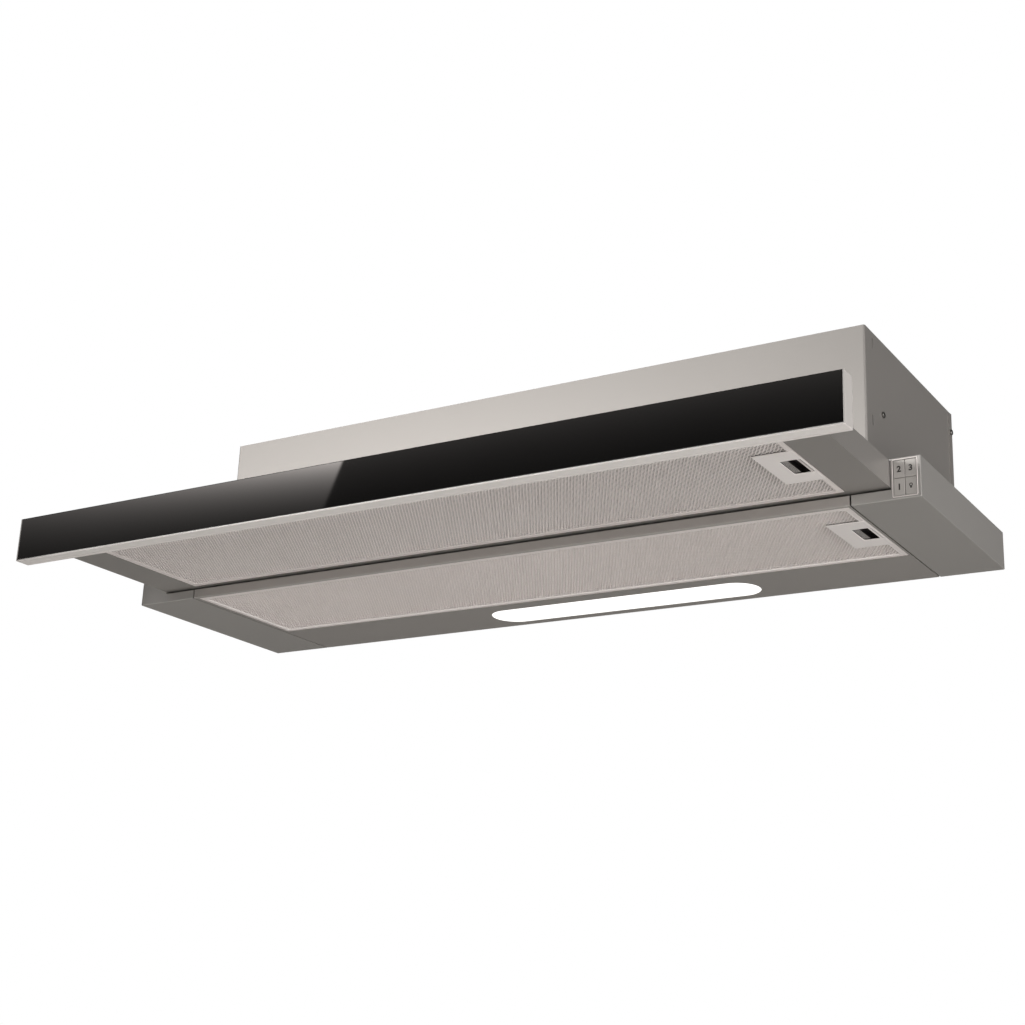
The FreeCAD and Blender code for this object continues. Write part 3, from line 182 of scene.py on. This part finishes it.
def bead(name, outline, level, normal_axis, radius, body, finish, sides=10):
    """A round rod bent along a closed outline: point = path + radius (cos t outward + sin t normal)."""
    path, outward = outline
    path = in_plane(path, level, normal_axis)
    outward = in_plane(outward, 0.0, normal_axis)
    normal = np.eye(3)[normal_axis]
    turn = np.linspace(0, 2 * np.pi, sides, endpoint=False)
    if normal_axis == 1:
        turn = turn[::-1]
    points = (path[:, None] + radius * (np.cos(turn)[None, :, None] * outward[:, None]
                                        + np.sin(turn)[None, :, None] * normal))
    return piece(name, points, ring_faces(len(path), sides), body, finish, smooth=True)


# ---- grease filters ----
def expanded_metal(name, low, high, from_x, to_x, keep_out, body, finish):
    """Staggered diamonds that tile the sheet, each with a smaller diamond cut out of its middle.  The
    cut's corners lie a little above and below the sheet, left and right, so that every strand is tilted;
    Solidify gives the strands their thickness.  Of the whole sheet's diamonds this piece has those with
    their middle between the two x."""
    x0, y0, x1, y1 = low.x, low.y, high.x, high.y
    level = (low.z + high.z) / 2
    columns = int((x1 - x0) / (CELL_X / 2))
    rows = int((y1 - y0) / (CELL_Y / 2))
    step = np.array([(x1 - x0) / columns, (y1 - y0) / rows])
    i, j = np.meshgrid(np.arange(1, columns), np.arange(1, rows), indexing="ij")
    middle = np.stack([i[(i + j) % 2 == 1], j[(i + j) % 2 == 1]], 1)
    place = np.array([x0, y0]) + middle * step
    kx0, kx1, ky0, ky1 = keep_out
    clear = ~((place[:, 0] > kx0) & (place[:, 0] < kx1) & (place[:, 1] > ky0) & (place[:, 1] < ky1))
    clear &= (place[:, 0] >= from_x) & (place[:, 0] < to_x)
    middle, place = middle[clear], place[clear]
    corner = np.array([[1, 0], [0, 1], [-1, 0], [0, -1]])
    node = (middle[:, None] + corner).reshape(-1, 2)
    node_id = node[:, 0] * (rows + 1) + node[:, 1]
    used, inverse = np.unique(node_id, return_inverse=True)
    inverse = inverse.reshape(-1, 4)
    outer = np.stack([x0 + used // (rows + 1) * step[0], y0 + used % (rows + 1) * step[1],
                      np.full(len(used), level)], 1)
    cut = place[:, None] + corner * step * (1 - STRAND)
    tilt = level + STRAND_TILT * np.array([1.0, 0.0, -1.0, 0.0])
    inner = np.concatenate([cut, np.broadcast_to(tilt[None, :, None], cut.shape[:2] + (1,))], 2)
    inner_id = len(used) + np.arange(len(middle) * 4).reshape(-1, 4)
    after = np.roll(np.arange(4), -1)
    faces = np.stack([inverse, inverse[:, after], inner_id[:, after], inner_id], 2).reshape(-1, 4)
    made = piece(name, np.concatenate([outer, inner.reshape(-1, 3)]), faces[:, ::-1], body, finish)
    thick = made.modifiers.new("thickness", "SOLIDIFY")
    thick.thickness = STRAND_T
    thick.offset = 0.0
    return made


def filter_faces(prefix, finish, bead_finish):
    """Expanded metal in two halves, and the bead pressed round it."""
    body = prefix + "_filter"
    low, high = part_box(prefix + "_filter_mesh")
    latch_low, latch_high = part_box(prefix + "_latch_housing")
    keep_out = (latch_low.x - SHEET_MARGIN, high.x + SHEET_MARGIN,
                latch_low.y - SHEET_MARGIN, latch_high.y + SHEET_MARGIN)
    middle = (low.x + high.x) / 2
    for side, from_x, to_x in (("left", low.x, middle), ("right", middle, high.x)):
        half = expanded_metal(f"{prefix}_mesh_{side}", low, high, from_x, to_x, keep_out, body, finish)
        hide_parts(prefix + "_filter_mesh")
    frame_low, frame_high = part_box(prefix + "_filter_frame")
    outline = rounded_rectangle(low.x - BEAD_OVERLAP + BEAD_IN, frame_high.x - BEAD_IN,
                                frame_low.y + BEAD_IN, frame_high.y - BEAD_IN, BEAD_BEND)
    bead(prefix + "_filter_bead", outline, frame_low.z + BEAD_R * BEAD_LIFT, 2, BEAD_R, body, bead_finish)


def latch_details(prefix, rim_finish, rib_finish):
    """Raised rim round the finger pocket and a front edge, both in a paler finish that paints a sheen on
    them, and ribs across the sliding tongue.
    """
    low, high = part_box(prefix + "_latch_housing")
    right = high.x - POCKET_END
    middle = (low.y + high.y) / 2
    body = prefix + "_filter"
    pocket = rounded_rectangle(right - POCKET_L, right, middle - POCKET_HALF_W, middle + POCKET_HALF_W,
                               POCKET_BEND)
    bead(prefix + "_pocket_rim", pocket, low.z + POCKET_RIM_R, 2, POCKET_RIM_R, body, rim_finish)
    edge_from, edge_to = LATCH_EDGE_Y
    edge = rounded_rectangle(low.x + LATCH_EDGE_IN, high.x - LATCH_EDGE_IN, low.y + edge_from,
                             low.y + edge_to, LATCH_EDGE_BEND, 3)
    bead(prefix + "_latch_edge", edge, low.z + LATCH_EDGE_R, 2, LATCH_EDGE_R, body, rim_finish)
    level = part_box(prefix + "_latch_slider")[0].z + RIB_LIFT
    pitch = RIB_SPREAD / (RIB_COUNT - 1)
    reach = POCKET_HALF_W - RIB_SHORT
    for k in range(RIB_COUNT):
        place = right - RIB_START + k * pitch
        rib = rounded_rectangle(place - RIB_HALF_W, place + RIB_HALF_W, middle - reach, middle + reach,
                                RIB_BEND, 3)
        bead(f"{prefix}_latch_rib_{k + 1}", rib, level, 2, RIB_R, prefix + "_latch", rib_finish, 6)


# ---- push buttons ----
def flat_sign(name, curve, height, place, body, finish):
    """Turns a flat curve into a mesh, stands it up to face the room and puts its middle at place."""
    holder = bpy.data.objects.new(name + "_outline", curve)
    bpy.context.scene.collection.objects.link(holder)
    bpy.context.view_layer.update()
    mesh = bpy.data.meshes.new_from_object(holder)
    bpy.data.objects.remove(holder)
    points = np.array([v.co for v in mesh.vertices])
    lowest, highest = points.min(0), points.max(0)
    size = height / (highest[1] - lowest[1])
    middle = Vector((lowest + highest) / 2)
    stand = Matrix(((1, 0, 0), (0, 0, -1), (0, 1, 0))).to_4x4()
    grow = Matrix.Diagonal((size, size, 1.0, 1.0))
    mesh.transform(Matrix.Translation(place) @ stand @ grow @ Matrix.Translation(-middle))
    mesh.name = name
    made = bpy.data.objects.new(name, mesh)
    bpy.context.scene.collection.objects.link(made)
    made.data.materials.clear()
    made.data.materials.append(finish)
    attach(made, body)
    return made


def digit_curve(text):
    """Outline of one digit, a little bolder than the plain font."""
    curve = bpy.data.curves.new("digit_" + text, "FONT")
    curve.body = text
    curve.extrude = SIGN_T / 2
    curve.offset = SIGN_BOLD
    return curve


def lamp_curve():
    """Outline of a bulb: most of a circle of radius 1 on a short neck, with a round hole in the glass."""
    curve = bpy.data.curves.new("lamp_sign", "CURVE")
    curve.dimensions = "2D"
    curve.fill_mode = "BOTH"
    curve.extrude = SIGN_T / 2
    angle = np.linspace(-0.30 * np.pi, 1.30 * np.pi, 17)
    globe = np.stack([np.cos(angle), np.sin(angle)], 1)
    neck_foot = np.array([[-0.45, -1.9], [0.45, -1.9]])
    hole = 0.55 * np.stack([np.cos(-angle), np.sin(-angle)], 1)
    for outline in (np.concatenate([globe, neck_foot]), hole):
        line = curve.splines.new("POLY")
        line.points.add(len(outline) - 1)
        flat = np.concatenate([outline, np.zeros((len(outline), 1)), np.ones((len(outline), 1))], 1)
        line.points.foreach_set("co", flat.ravel())
        line.use_cyclic_u = True
    return curve


def button_signs(finish, rim_finish):
    """The sign on each button, and the raised rim round all four."""
    signs = {"button_speed_1": digit_curve("1"), "button_speed_2": digit_curve("2"),
             "button_speed_3": digit_curve("3"), "button_lamp": lamp_curve()}
    corners = []
    for name, curve in signs.items():
        low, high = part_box(name)
        corners += [low, high]
        place = Vector(((low.x + high.x) / 2, low.y - SIGN_T * SIGN_PROUD, (low.z + high.z) / 2))
        height = SIGN_H * (LAMP_SIGN_SHARE if name == "button_lamp" else 1)
        flat_sign(name + "_sign", curve, height, place, name, finish)
    x0, _, z0 = np.min(corners, 0) - BUTTON_RIM_OUT
    x1, _, z1 = np.max(corners, 0) + BUTTON_RIM_OUT
    outline = rounded_rectangle(x0, x1, z0, z1, BUTTON_RIM_OUT, 4)
    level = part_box("end_cap_right")[0].y + BUTTON_RIM_LIFT
    bead("button_rim", outline, level, 1, BUTTON_RIM_R, "hood", rim_finish, 8)


# ---- shader helpers ----
def shader_group(name, inputs, outputs):
    """A new node group with its sockets, and its input and output nodes."""
    tree = bpy.data.node_groups.new(name, "ShaderNodeTree")
    for label, kind in inputs:
        tree.interface.new_socket(name=label, in_out="INPUT", socket_type="NodeSocket" + kind)
    for label, kind in outputs:
        tree.interface.new_socket(name=label, in_out="OUTPUT", socket_type="NodeSocket" + kind)
    return tree, tree.nodes.new("NodeGroupInput"), tree.nodes.new("NodeGroupOutput")


def shade(tree, kind, settings=None, **sockets):
    """One shader node: settings are its own properties, sockets its inputs, each a value or a link.  A
    socket goes by its name, or by its number as in0, in1 and so on."""
    node = tree.nodes.new("ShaderNode" + kind)
    for key, value in (settings or {}).items():
        setattr(node, key, value)
    for key, value in sockets.items():
        numbered = key.startswith("in") and key[2:].isdigit()
        socket = node.inputs[int(key[2:]) if numbered else key.replace("_", " ")]
        if isinstance(value, bpy.types.NodeSocket):
            tree.links.new(value, socket)
        else:
            socket.default_value = value
    return node


def maths(tree, operation, *terms):
    """The result of a Math node on one, two or three terms, each a value or a link."""
    return shade(tree, "Math", {"operation": operation},
                 **{f"in{k}": term for k, term in enumerate(terms)}).outputs[0]


def blend(tree, mask, first, second):
    """First colour where the mask is 0, second where it is 1."""
    return shade(tree, "Mix", {"data_type": "RGBA"}, in0=mask, in6=first, in7=second).outputs[2]


def object_place(tree):
    """Object coordinates of the point that is shaded."""
    return tree.nodes.new("ShaderNodeTexCoord").outputs["Object"]


def grey(tree, value):
    """The colour with all three parts equal to a value."""
    return shade(tree, "CombineColor", Red=value, Green=value, Blue=value).outputs[0]


def grain_group():
    """Fine noise stretched by Stretch, and broad patches: colour times 1 + Tone (noise - 1/2), roughness
    plus Patches (patch - 1/2), and a bump as high as Relief."""
    tree, given, out = shader_group(
        "grain",
        (("Colour", "Color"), ("Stretch", "Vector"), ("Tone", "Float"), ("Roughness", "Float"),
         ("Patches", "Float"), ("Relief", "Float")),
        (("Colour", "Color"), ("Roughness", "Float"), ("Normal", "Vector")))
    place = object_place(tree)
    stretched = shade(tree, "VectorMath", {"operation": "MULTIPLY"}, in0=place,
                      in1=given.outputs["Stretch"])
    fine = shade(tree, "TexNoise", Vector=stretched.outputs[0], Scale=1.0, Detail=4.0, Roughness=0.6)
    broad = shade(tree, "TexNoise", Vector=place, Scale=9.0, Detail=3.0, Roughness=0.5)
    centred = maths(tree, "SUBTRACT", fine.outputs["Fac"], 0.5)
    wide = maths(tree, "SUBTRACT", broad.outputs["Fac"], 0.5)
    both = maths(tree, "MULTIPLY_ADD", wide, 0.6, centred)
    factor = maths(tree, "MULTIPLY_ADD", both, given.outputs["Tone"], 1.0)
    tinted = shade(tree, "VectorMath", {"operation": "SCALE"}, in0=given.outputs["Colour"],
                   Scale=factor)
    rough = maths(tree, "MULTIPLY_ADD", wide, given.outputs["Patches"], given.outputs["Roughness"])
    bump = shade(tree, "Bump", Strength=1.0, Distance=given.outputs["Relief"],
                 Height=fine.outputs["Fac"])
    tree.links.new(tinted.outputs[0], out.inputs["Colour"])
    tree.links.new(rough, out.inputs["Roughness"])
    tree.links.new(bump.outputs[0], out.inputs["Normal"])
    return tree


def dust_group():
    """Settled dust: a mask that is strong on faces that look up, broken up by noise."""
    tree, given, out = shader_group("dust", (("Colour", "Color"), ("Amount", "Float")),
                                    (("Colour", "Color"),))
    geometry = tree.nodes.new("ShaderNodeNewGeometry")
    split = shade(tree, "SeparateXYZ", Vector=geometry.outputs["Normal"])
    place = object_place(tree)
    noise = shade(tree, "TexNoise", Vector=place, Scale=38.0, Detail=5.0, Roughness=0.65)
    up = shade(tree, "MapRange", Value=split.outputs["Z"], From_Min=0.6, From_Max=1.0)
    mask = maths(tree, "MULTIPLY", up.outputs[0], noise.outputs["Fac"])
    mask = maths(tree, "MULTIPLY", mask, given.outputs["Amount"])
    tree.links.new(blend(tree, mask, given.outputs["Colour"], DUST_COLOUR), out.inputs["Colour"])
    return tree


GRAIN = grain_group()
DUST = dust_group()


def material(name):
    """A new material, its node tree and its Principled shader."""
    made = bpy.data.materials.new(name)
    made.use_nodes = True
    tree = made.node_tree
    return made, tree, tree.nodes["Principled BSDF"]


def grained(name, colour, stretch, tone, roughness, patches, relief, metallic=0.0, dust=0.0):
    """A finish whose colour, roughness and normal follow the grain group, with settled dust if asked."""
    made, tree, principled = material(name)
    grain = shade(tree, "Group", {"node_tree": GRAIN}, Colour=(*colour, 1.0), Stretch=stretch, Tone=tone,
                  Roughness=roughness, Patches=patches, Relief=relief)
    face = grain.outputs["Colour"]
    if dust:
        face = shade(tree, "Group", {"node_tree": DUST}, Colour=face, Amount=dust).outputs["Colour"]
    tree.links.new(face, principled.inputs["Base Color"])
    tree.links.new(grain.outputs["Roughness"], principled.inputs["Roughness"])
    tree.links.new(grain.outputs["Normal"], principled.inputs["Normal"])
    principled.inputs["Metallic"].default_value = metallic
    return made


# ---- finishes: how finely the grain runs along x, y and z ----
BRUSHED_X = (40.0, 4000.0, 4000.0)
EVEN = (2500.0, 2500.0, 2500.0)
TURNED_Z = (4000.0, 4000.0, 60.0)


def black_glass():
    """Dark body under a polished face, with a few broad smears that dull it slightly."""
    made, tree, principled = material("black_glass")
    place = object_place(tree)
    smear = shade(tree, "TexNoise", Vector=place, Scale=7.0, Detail=4.0, Distortion=1.2)
    rough = shade(tree, "MapRange", Value=smear.outputs["Fac"], From_Min=0.35, From_Max=0.75,
                  To_Min=0.012, To_Max=0.035)
    body = shade(tree, "MapRange", Value=smear.outputs["Fac"], To_Min=0.0015, To_Max=0.0028)
    tree.links.new(grey(tree, body.outputs[0]), principled.inputs["Base Color"])
    tree.links.new(rough.outputs[0], principled.inputs["Roughness"])
    principled.inputs["IOR"].default_value = 1.52
    return made


def glowing_lens():
    """Opal lens, brightest along its middle line, over the row of lamps."""
    made, tree, principled = material("opal_lens")
    low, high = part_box("lamp_diffuser")
    place = object_place(tree)
    across = shade(tree, "SeparateXYZ", Vector=place).outputs["Y"]
    middle = (low.y + high.y) / 2
    offset = maths(tree, "ABSOLUTE", maths(tree, "SUBTRACT", across, middle))
    glow = shade(tree, "MapRange", Value=offset, From_Min=0.0, From_Max=(high.y - low.y) / 2,
                 To_Min=1.0, To_Max=0.86)
    colour = shade(tree, "CombineColor", Red=glow.outputs[0], Green=glow.outputs[0],
                   Blue=maths(tree, "MULTIPLY", glow.outputs[0], 0.985))
    tree.links.new(colour.outputs[0], principled.inputs["Emission Color"])
    tree.links.new(colour.outputs[0], principled.inputs["Base Color"])
    principled.inputs["Emission Strength"].default_value = 1.1
    principled.inputs["Roughness"].default_value = 0.35
    return made


def circuit_board():
    """Green lacquer with paler tracks on a square grid."""
    made, tree, principled = material("circuit_board")
    place = object_place(tree)
    brick = shade(tree, "TexBrick", Vector=place, Color1=(0.01, 0.10, 0.04, 1.0),
                  Color2=(0.015, 0.12, 0.05, 1.0), Mortar=(0.05, 0.28, 0.12, 1.0), Scale=160.0,
                  Mortar_Size=0.06)
    tree.links.new(brick.outputs["Color"], principled.inputs["Base Color"])
    principled.inputs["Roughness"].default_value = 0.3
    return made


def galvanised():
    """Zinc spangle: cells of slightly different grey and gloss."""
    made, tree, principled = material("galvanised")
    place = object_place(tree)
    cells = shade(tree, "TexVoronoi", Vector=place, Scale=90.0)
    cell = shade(tree, "SeparateColor", Color=cells.outputs["Color"]).outputs[0]
    tone = shade(tree, "MapRange", Value=cell, To_Min=0.36, To_Max=0.48)
    rough = shade(tree, "MapRange", Value=cell, To_Min=0.34, To_Max=0.48)
    tree.links.new(grey(tree, tone.outputs[0]), principled.inputs["Base Color"])
    tree.links.new(rough.outputs[0], principled.inputs["Roughness"])
    principled.inputs["Metallic"].default_value = 0.85
    return made


def latch_finish():
    """Satin silver outside; the finger pocket's hollow is painted black, as shade."""
    made = grained("latch_silver", (0.94, 0.90, 0.885), EVEN, 0.04, 0.40, 0.05, 0.01 * MM, 0.10)
    tree = made.node_tree
    principled = tree.nodes["Principled BSDF"]
    face = principled.inputs["Base Color"].links[0].from_socket
    place = object_place(tree)
    height = shade(tree, "SeparateXYZ", Vector=place).outputs["Z"]
    canopy_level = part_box("canopy_latch_housing")[0].z
    drawer_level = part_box("drawer_latch_housing")[0].z
    in_canopy = maths(tree, "MULTIPLY", maths(tree, "GREATER_THAN", height, canopy_level + POCKET_DEPTH),
                      maths(tree, "LESS_THAN", height, drawer_level - POCKET_DEPTH))
    in_drawer = maths(tree, "GREATER_THAN", height, drawer_level + POCKET_DEPTH)
    # painted shade: every face deeper in the pocket than POCKET_DEPTH is drawn black
    pocket_shade_mask = maths(tree, "MAXIMUM", in_canopy, in_drawer)
    tree.links.new(blend(tree, pocket_shade_mask, face, POCKET_PAINTED_SHADE), principled.inputs["Base Color"])
    return made


def frame_finish():
    """Pale satin aluminium with painted shade: darker on its narrow front lip and a little darker on its
    two ends.
    """
    made = grained("anodised_aluminium", (0.98, 0.945, 0.925), BRUSHED_X, 0.04, 0.24, 0.05, 0.006 * MM,
                   0.10)
    tree = made.node_tree
    principled = tree.nodes["Principled BSDF"]
    low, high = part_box("front_frame")
    place = shade(tree, "SeparateXYZ", Vector=object_place(tree))
    lip = maths(tree, "LESS_THAN", place.outputs["Y"], low.y + FRAME_SKIN)
    from_middle = maths(tree, "ABSOLUTE", place.outputs["X"])
    ends = maths(tree, "GREATER_THAN", from_middle, high.x - FRAME_SKIN)
    colour = principled.inputs["Base Color"].links[0].from_socket
    # painted shade laid over the lip and the ends
    for mask, shaded in ((ends, FRAME_END_PAINTED_SHADE), (lip, FRAME_LIP_PAINTED_SHADE)):
        colour = blend(tree, mask, colour, shaded)
    tree.links.new(colour, principled.inputs["Base Color"])
    return made


FINISHES = {
    "painted_steel": grained("silver_lacquer", (0.34, 0.325, 0.31), BRUSHED_X, 0.05, 0.42, 0.06, 0.004 * MM,
                             0.45, 0.5),
    "inner_steel": galvanised(),
    "cap_plastic": grained("silver_moulding", (0.42, 0.408, 0.392), EVEN, 0.05, 0.44, 0.06, 0.012 * MM,
                           0.45),
    "black_glass": black_glass(),
    "front_aluminium": frame_finish(),
    "filter_aluminium": grained("filter_aluminium", (0.94, 0.885, 0.865), EVEN, 0.08, 0.40, 0.06,
                                0.01 * MM, 0.3),
    "latch_metal": latch_finish(),
    "lens": glowing_lens(),
    "button_plastic": grained("button_silver", (0.50, 0.48, 0.46), EVEN, 0.05, 0.45, 0.05, 0.01 * MM,
                              0.3),
    "zinc_screw": grained("dark_zinc", (0.20, 0.195, 0.185), EVEN, 0.12, 0.34, 0.08, 0.008 * MM, 0.9),
    "circuit_board": circuit_board(),
    "led": grained("phosphor", (0.85, 0.78, 0.30), EVEN, 0.05, 0.35, 0.03, 0.002 * MM),
    "black_plastic": grained("black_moulding", (0.018, 0.018, 0.019), EVEN, 0.15, 0.42, 0.10, 0.02 * MM,
                             0.0, 0.35),
    "white_nylon": grained("nylon", (0.78, 0.77, 0.72), EVEN, 0.04, 0.45, 0.05, 0.01 * MM),
    "rubber": grained("rubber", (0.022, 0.022, 0.022), EVEN, 0.15, 0.75, 0.08, 0.02 * MM),
    "blower_plastic": grained("blower_grey", (0.05, 0.05, 0.055), EVEN, 0.12, 0.5, 0.08, 0.02 * MM),
    "motor_steel": grained("motor_can", (0.30, 0.30, 0.31), EVEN, 0.08, 0.38, 0.08, 0.008 * MM, 0.9),
    "shaft_steel": grained("ground_steel", (0.62, 0.62, 0.63), TURNED_Z, 0.08, 0.24, 0.05,
                           0.004 * MM, 1.0),
}
NODE_FINISHES = {
    # Painted light: the canopy shell is the casing's own lacquer, drawn lighter
    "canopy_shell": grained("silver_lacquer_below", (0.40, 0.382, 0.365), BRUSHED_X, 0.05, 0.42, 0.06,
                            0.004 * MM, 0.45, 0.5),
    # Painted shade: both cores are the filter's own aluminium drawn darker, so the mesh's holes look
    # shaded; the drawer's is darker still, for its recess
    "drawer_filter_core": grained("shaded_core", (0.30, 0.285, 0.275), EVEN, 0.08, 0.5, 0.06, 0.01 * MM,
                                  0.3),
    "canopy_filter_core": grained("paler_core", (0.66, 0.62, 0.60), EVEN, 0.08, 0.5, 0.06, 0.01 * MM,
                                  0.3),
}
# Painted sheen: the pressed bead and the latch's rims are drawn paler than the metal they are pressed from
BEAD_PAINTED_SHEEN = grained("pressed_bead", (0.99, 0.95, 0.93), EVEN, 0.03, 0.30, 0.05, 0.004 * MM, 0.05)
# A dimmer copy of the same bead: on the drawer's filter it is painted shade; on the button rim it is just
# lighter than the cap
DIMMER_BEAD = grained("dimmer_bead", (0.78, 0.73, 0.71), EVEN, 0.04, 0.36, 0.05, 0.004 * MM, 0.2)
SIGN_INK = grained("sign_ink", (0.045, 0.042, 0.040), EVEN, 0.1, 0.5, 0.05, 0.004 * MM)


def dress_nodes():
    """Gives every node its own finish, or the one of its material slot."""
    for part in frame["record"]["subparts"]:
        slots = NODES[part["node"]].data.materials
        slots.clear()
        slots.append(NODE_FINISHES.get(part["node"], FINISHES[part["material_slot"]]))


# ---- studio ----
def place_camera():
    """The camera, from its place and the directions of its picture's right and lower sides."""
    data = bpy.data.cameras.new("camera")
    data.lens = CAMERA_LENS
    data.sensor_width = CAMERA_SENSOR
    data.clip_end = CAMERA_REACH
    right = Vector(CAMERA_RIGHT).normalized()
    up = -Vector(CAMERA_DOWN).normalized()
    back = right.cross(up)
    turn = Matrix((right, up, back)).transposed().to_4x4()
    camera = bpy.data.objects.new("camera", data)
    camera.matrix_world = Matrix.Translation(CAMERA_PLACE) @ turn
    bpy.context.scene.collection.objects.link(camera)
    bpy.context.scene.camera = camera


def reflected_card():
    """A card seen only by reflection.  Left of a slanted edge its brightness is exp(a + b x + (c + d x) z),
    growing towards the edge and upwards; right of the edge it is exp(e + f z), much dimmer."""
    made, tree, _ = material("reflected_card")
    tree.nodes.clear()
    split = shade(tree, "SeparateXYZ", Vector=object_place(tree))
    centre_x, centre_z = CARD_CENTRE
    along = maths(tree, "SUBTRACT", split.outputs["X"], centre_x)
    up = maths(tree, "SUBTRACT", split.outputs["Z"], centre_z)
    slope = maths(tree, "MULTIPLY_ADD", along, CARD_SLOPE_X, CARD_SLOPE)
    level = maths(tree, "MULTIPLY_ADD", along, CARD_RISE, CARD_LEFT)
    left = maths(tree, "EXPONENT", maths(tree, "MULTIPLY_ADD", up, slope, level))
    right = maths(tree, "EXPONENT", maths(tree, "MULTIPLY_ADD", up, CARD_RIGHT_SLOPE, CARD_RIGHT))
    edge_x, edge_z, lean = CARD_EDGE
    border = maths(tree, "MULTIPLY_ADD", split.outputs["Z"], lean, edge_x - lean * edge_z)
    beyond = maths(tree, "SUBTRACT", split.outputs["X"], border)
    mask = shade(tree, "MapRange", {"interpolation_type": "SMOOTHSTEP"}, Value=beyond,
                 From_Min=-CARD_BLUR, From_Max=CARD_BLUR)
    glow = shade(tree, "Mix", {"data_type": "FLOAT"}, in0=mask.outputs[0], in2=left, in3=right)
    emission = shade(tree, "Emission", Color=CARD_COLOUR, Strength=glow.outputs[0])
    output = tree.nodes.new("ShaderNodeOutputMaterial")
    tree.links.new(emission.outputs[0], output.inputs["Surface"])
    (x0, x1), (z0, z1) = CARD_X, CARD_Z
    corners = [(x0, CARD_Y, z0), (x1, CARD_Y, z0), (x1, CARD_Y, z1), (x0, CARD_Y, z1)]
    card = stage_sheet("reflected_card", corners, made)
    card.visible_camera = False
    card.visible_shadow = False


def flag():
    """A dark card beside the drawer's left end that keeps the key light off the end cap behind it."""
    made, _, principled = material("flag_black")
    principled.inputs["Base Color"].default_value = (0.02, 0.02, 0.02, 1.0)
    principled.inputs["Roughness"].default_value = 0.9
    (y0, y1), (z0, z1) = FLAG_Y, FLAG_Z
    card = stage_sheet("flag", [(FLAG_X, y0, z0), (FLAG_X, y1, z0), (FLAG_X, y1, z1), (FLAG_X, y0, z1)],
                       made)
    card.visible_camera = False
    card.visible_glossy = False


def area_light(name, place, target, size, power):
    """A rectangular lamp that shines towards its target."""
    data = bpy.data.lights.new(name, "AREA")
    data.shape = "RECTANGLE"
    data.size, data.size_y = size
    data.energy = power
    data.color = LIGHT_COLOUR
    light = bpy.data.objects.new(name, data)
    aim = (Vector(target) - Vector(place)).to_track_quat("-Z", "Y")
    light.matrix_world = Matrix.Translation(place) @ aim.to_matrix().to_4x4()
    bpy.context.scene.collection.objects.link(light)


def pale_floor():
    """A floor under the object; from below it is clear, so that it never hides the underside."""
    made = grained("pale_floor", (0.80, 0.79, 0.77), (60.0, 60.0, 60.0), 0.02, 0.7, 0.05, 0.02 * MM)
    tree = made.node_tree
    below = tree.nodes.new("ShaderNodeNewGeometry").outputs["Backfacing"]
    clear = maths(tree, "SUBTRACT", 1.0, below)
    tree.links.new(clear, tree.nodes["Principled BSDF"].inputs["Alpha"])
    reach = FLOOR_REACH
    stage_sheet("floor", [(-reach, -reach, FLOOR_Z), (reach, -reach, FLOOR_Z), (reach, reach, FLOOR_Z),
                          (-reach, reach, FLOOR_Z)], made)


def studio_world():
    """White behind the object, a dimmer grey for the light that it gives."""
    world = bpy.data.worlds.new("studio")
    bpy.context.scene.world = world
    world.use_nodes = True
    tree = world.node_tree
    tree.nodes.clear()
    seen = tree.nodes.new("ShaderNodeLightPath").outputs["Is Camera Ray"]
    background = shade(tree, "Background", Color=blend(tree, seen, WORLD_LIGHT, WHITE), Strength=1.0)
    output = tree.nodes.new("ShaderNodeOutputWorld")
    tree.links.new(background.outputs[0], output.inputs["Surface"])


def studio():
    place_camera()
    studio_world()
    pale_floor()
    reflected_card()
    flag()
    for light in LIGHTS:
        area_light(*light)
    bpy.context.scene.view_settings.view_transform = "Standard"


studio()
dress_nodes()
# the canopy's bead carries the painted sheen, the drawer's the painted shade
for prefix, bead_finish in (("canopy", BEAD_PAINTED_SHEEN), ("drawer", DIMMER_BEAD)):
    filter_faces(prefix, FINISHES["filter_aluminium"], bead_finish)
    latch_details(prefix, BEAD_PAINTED_SHEEN, FINISHES["button_plastic"])
button_signs(SIGN_INK, DIMMER_BEAD)
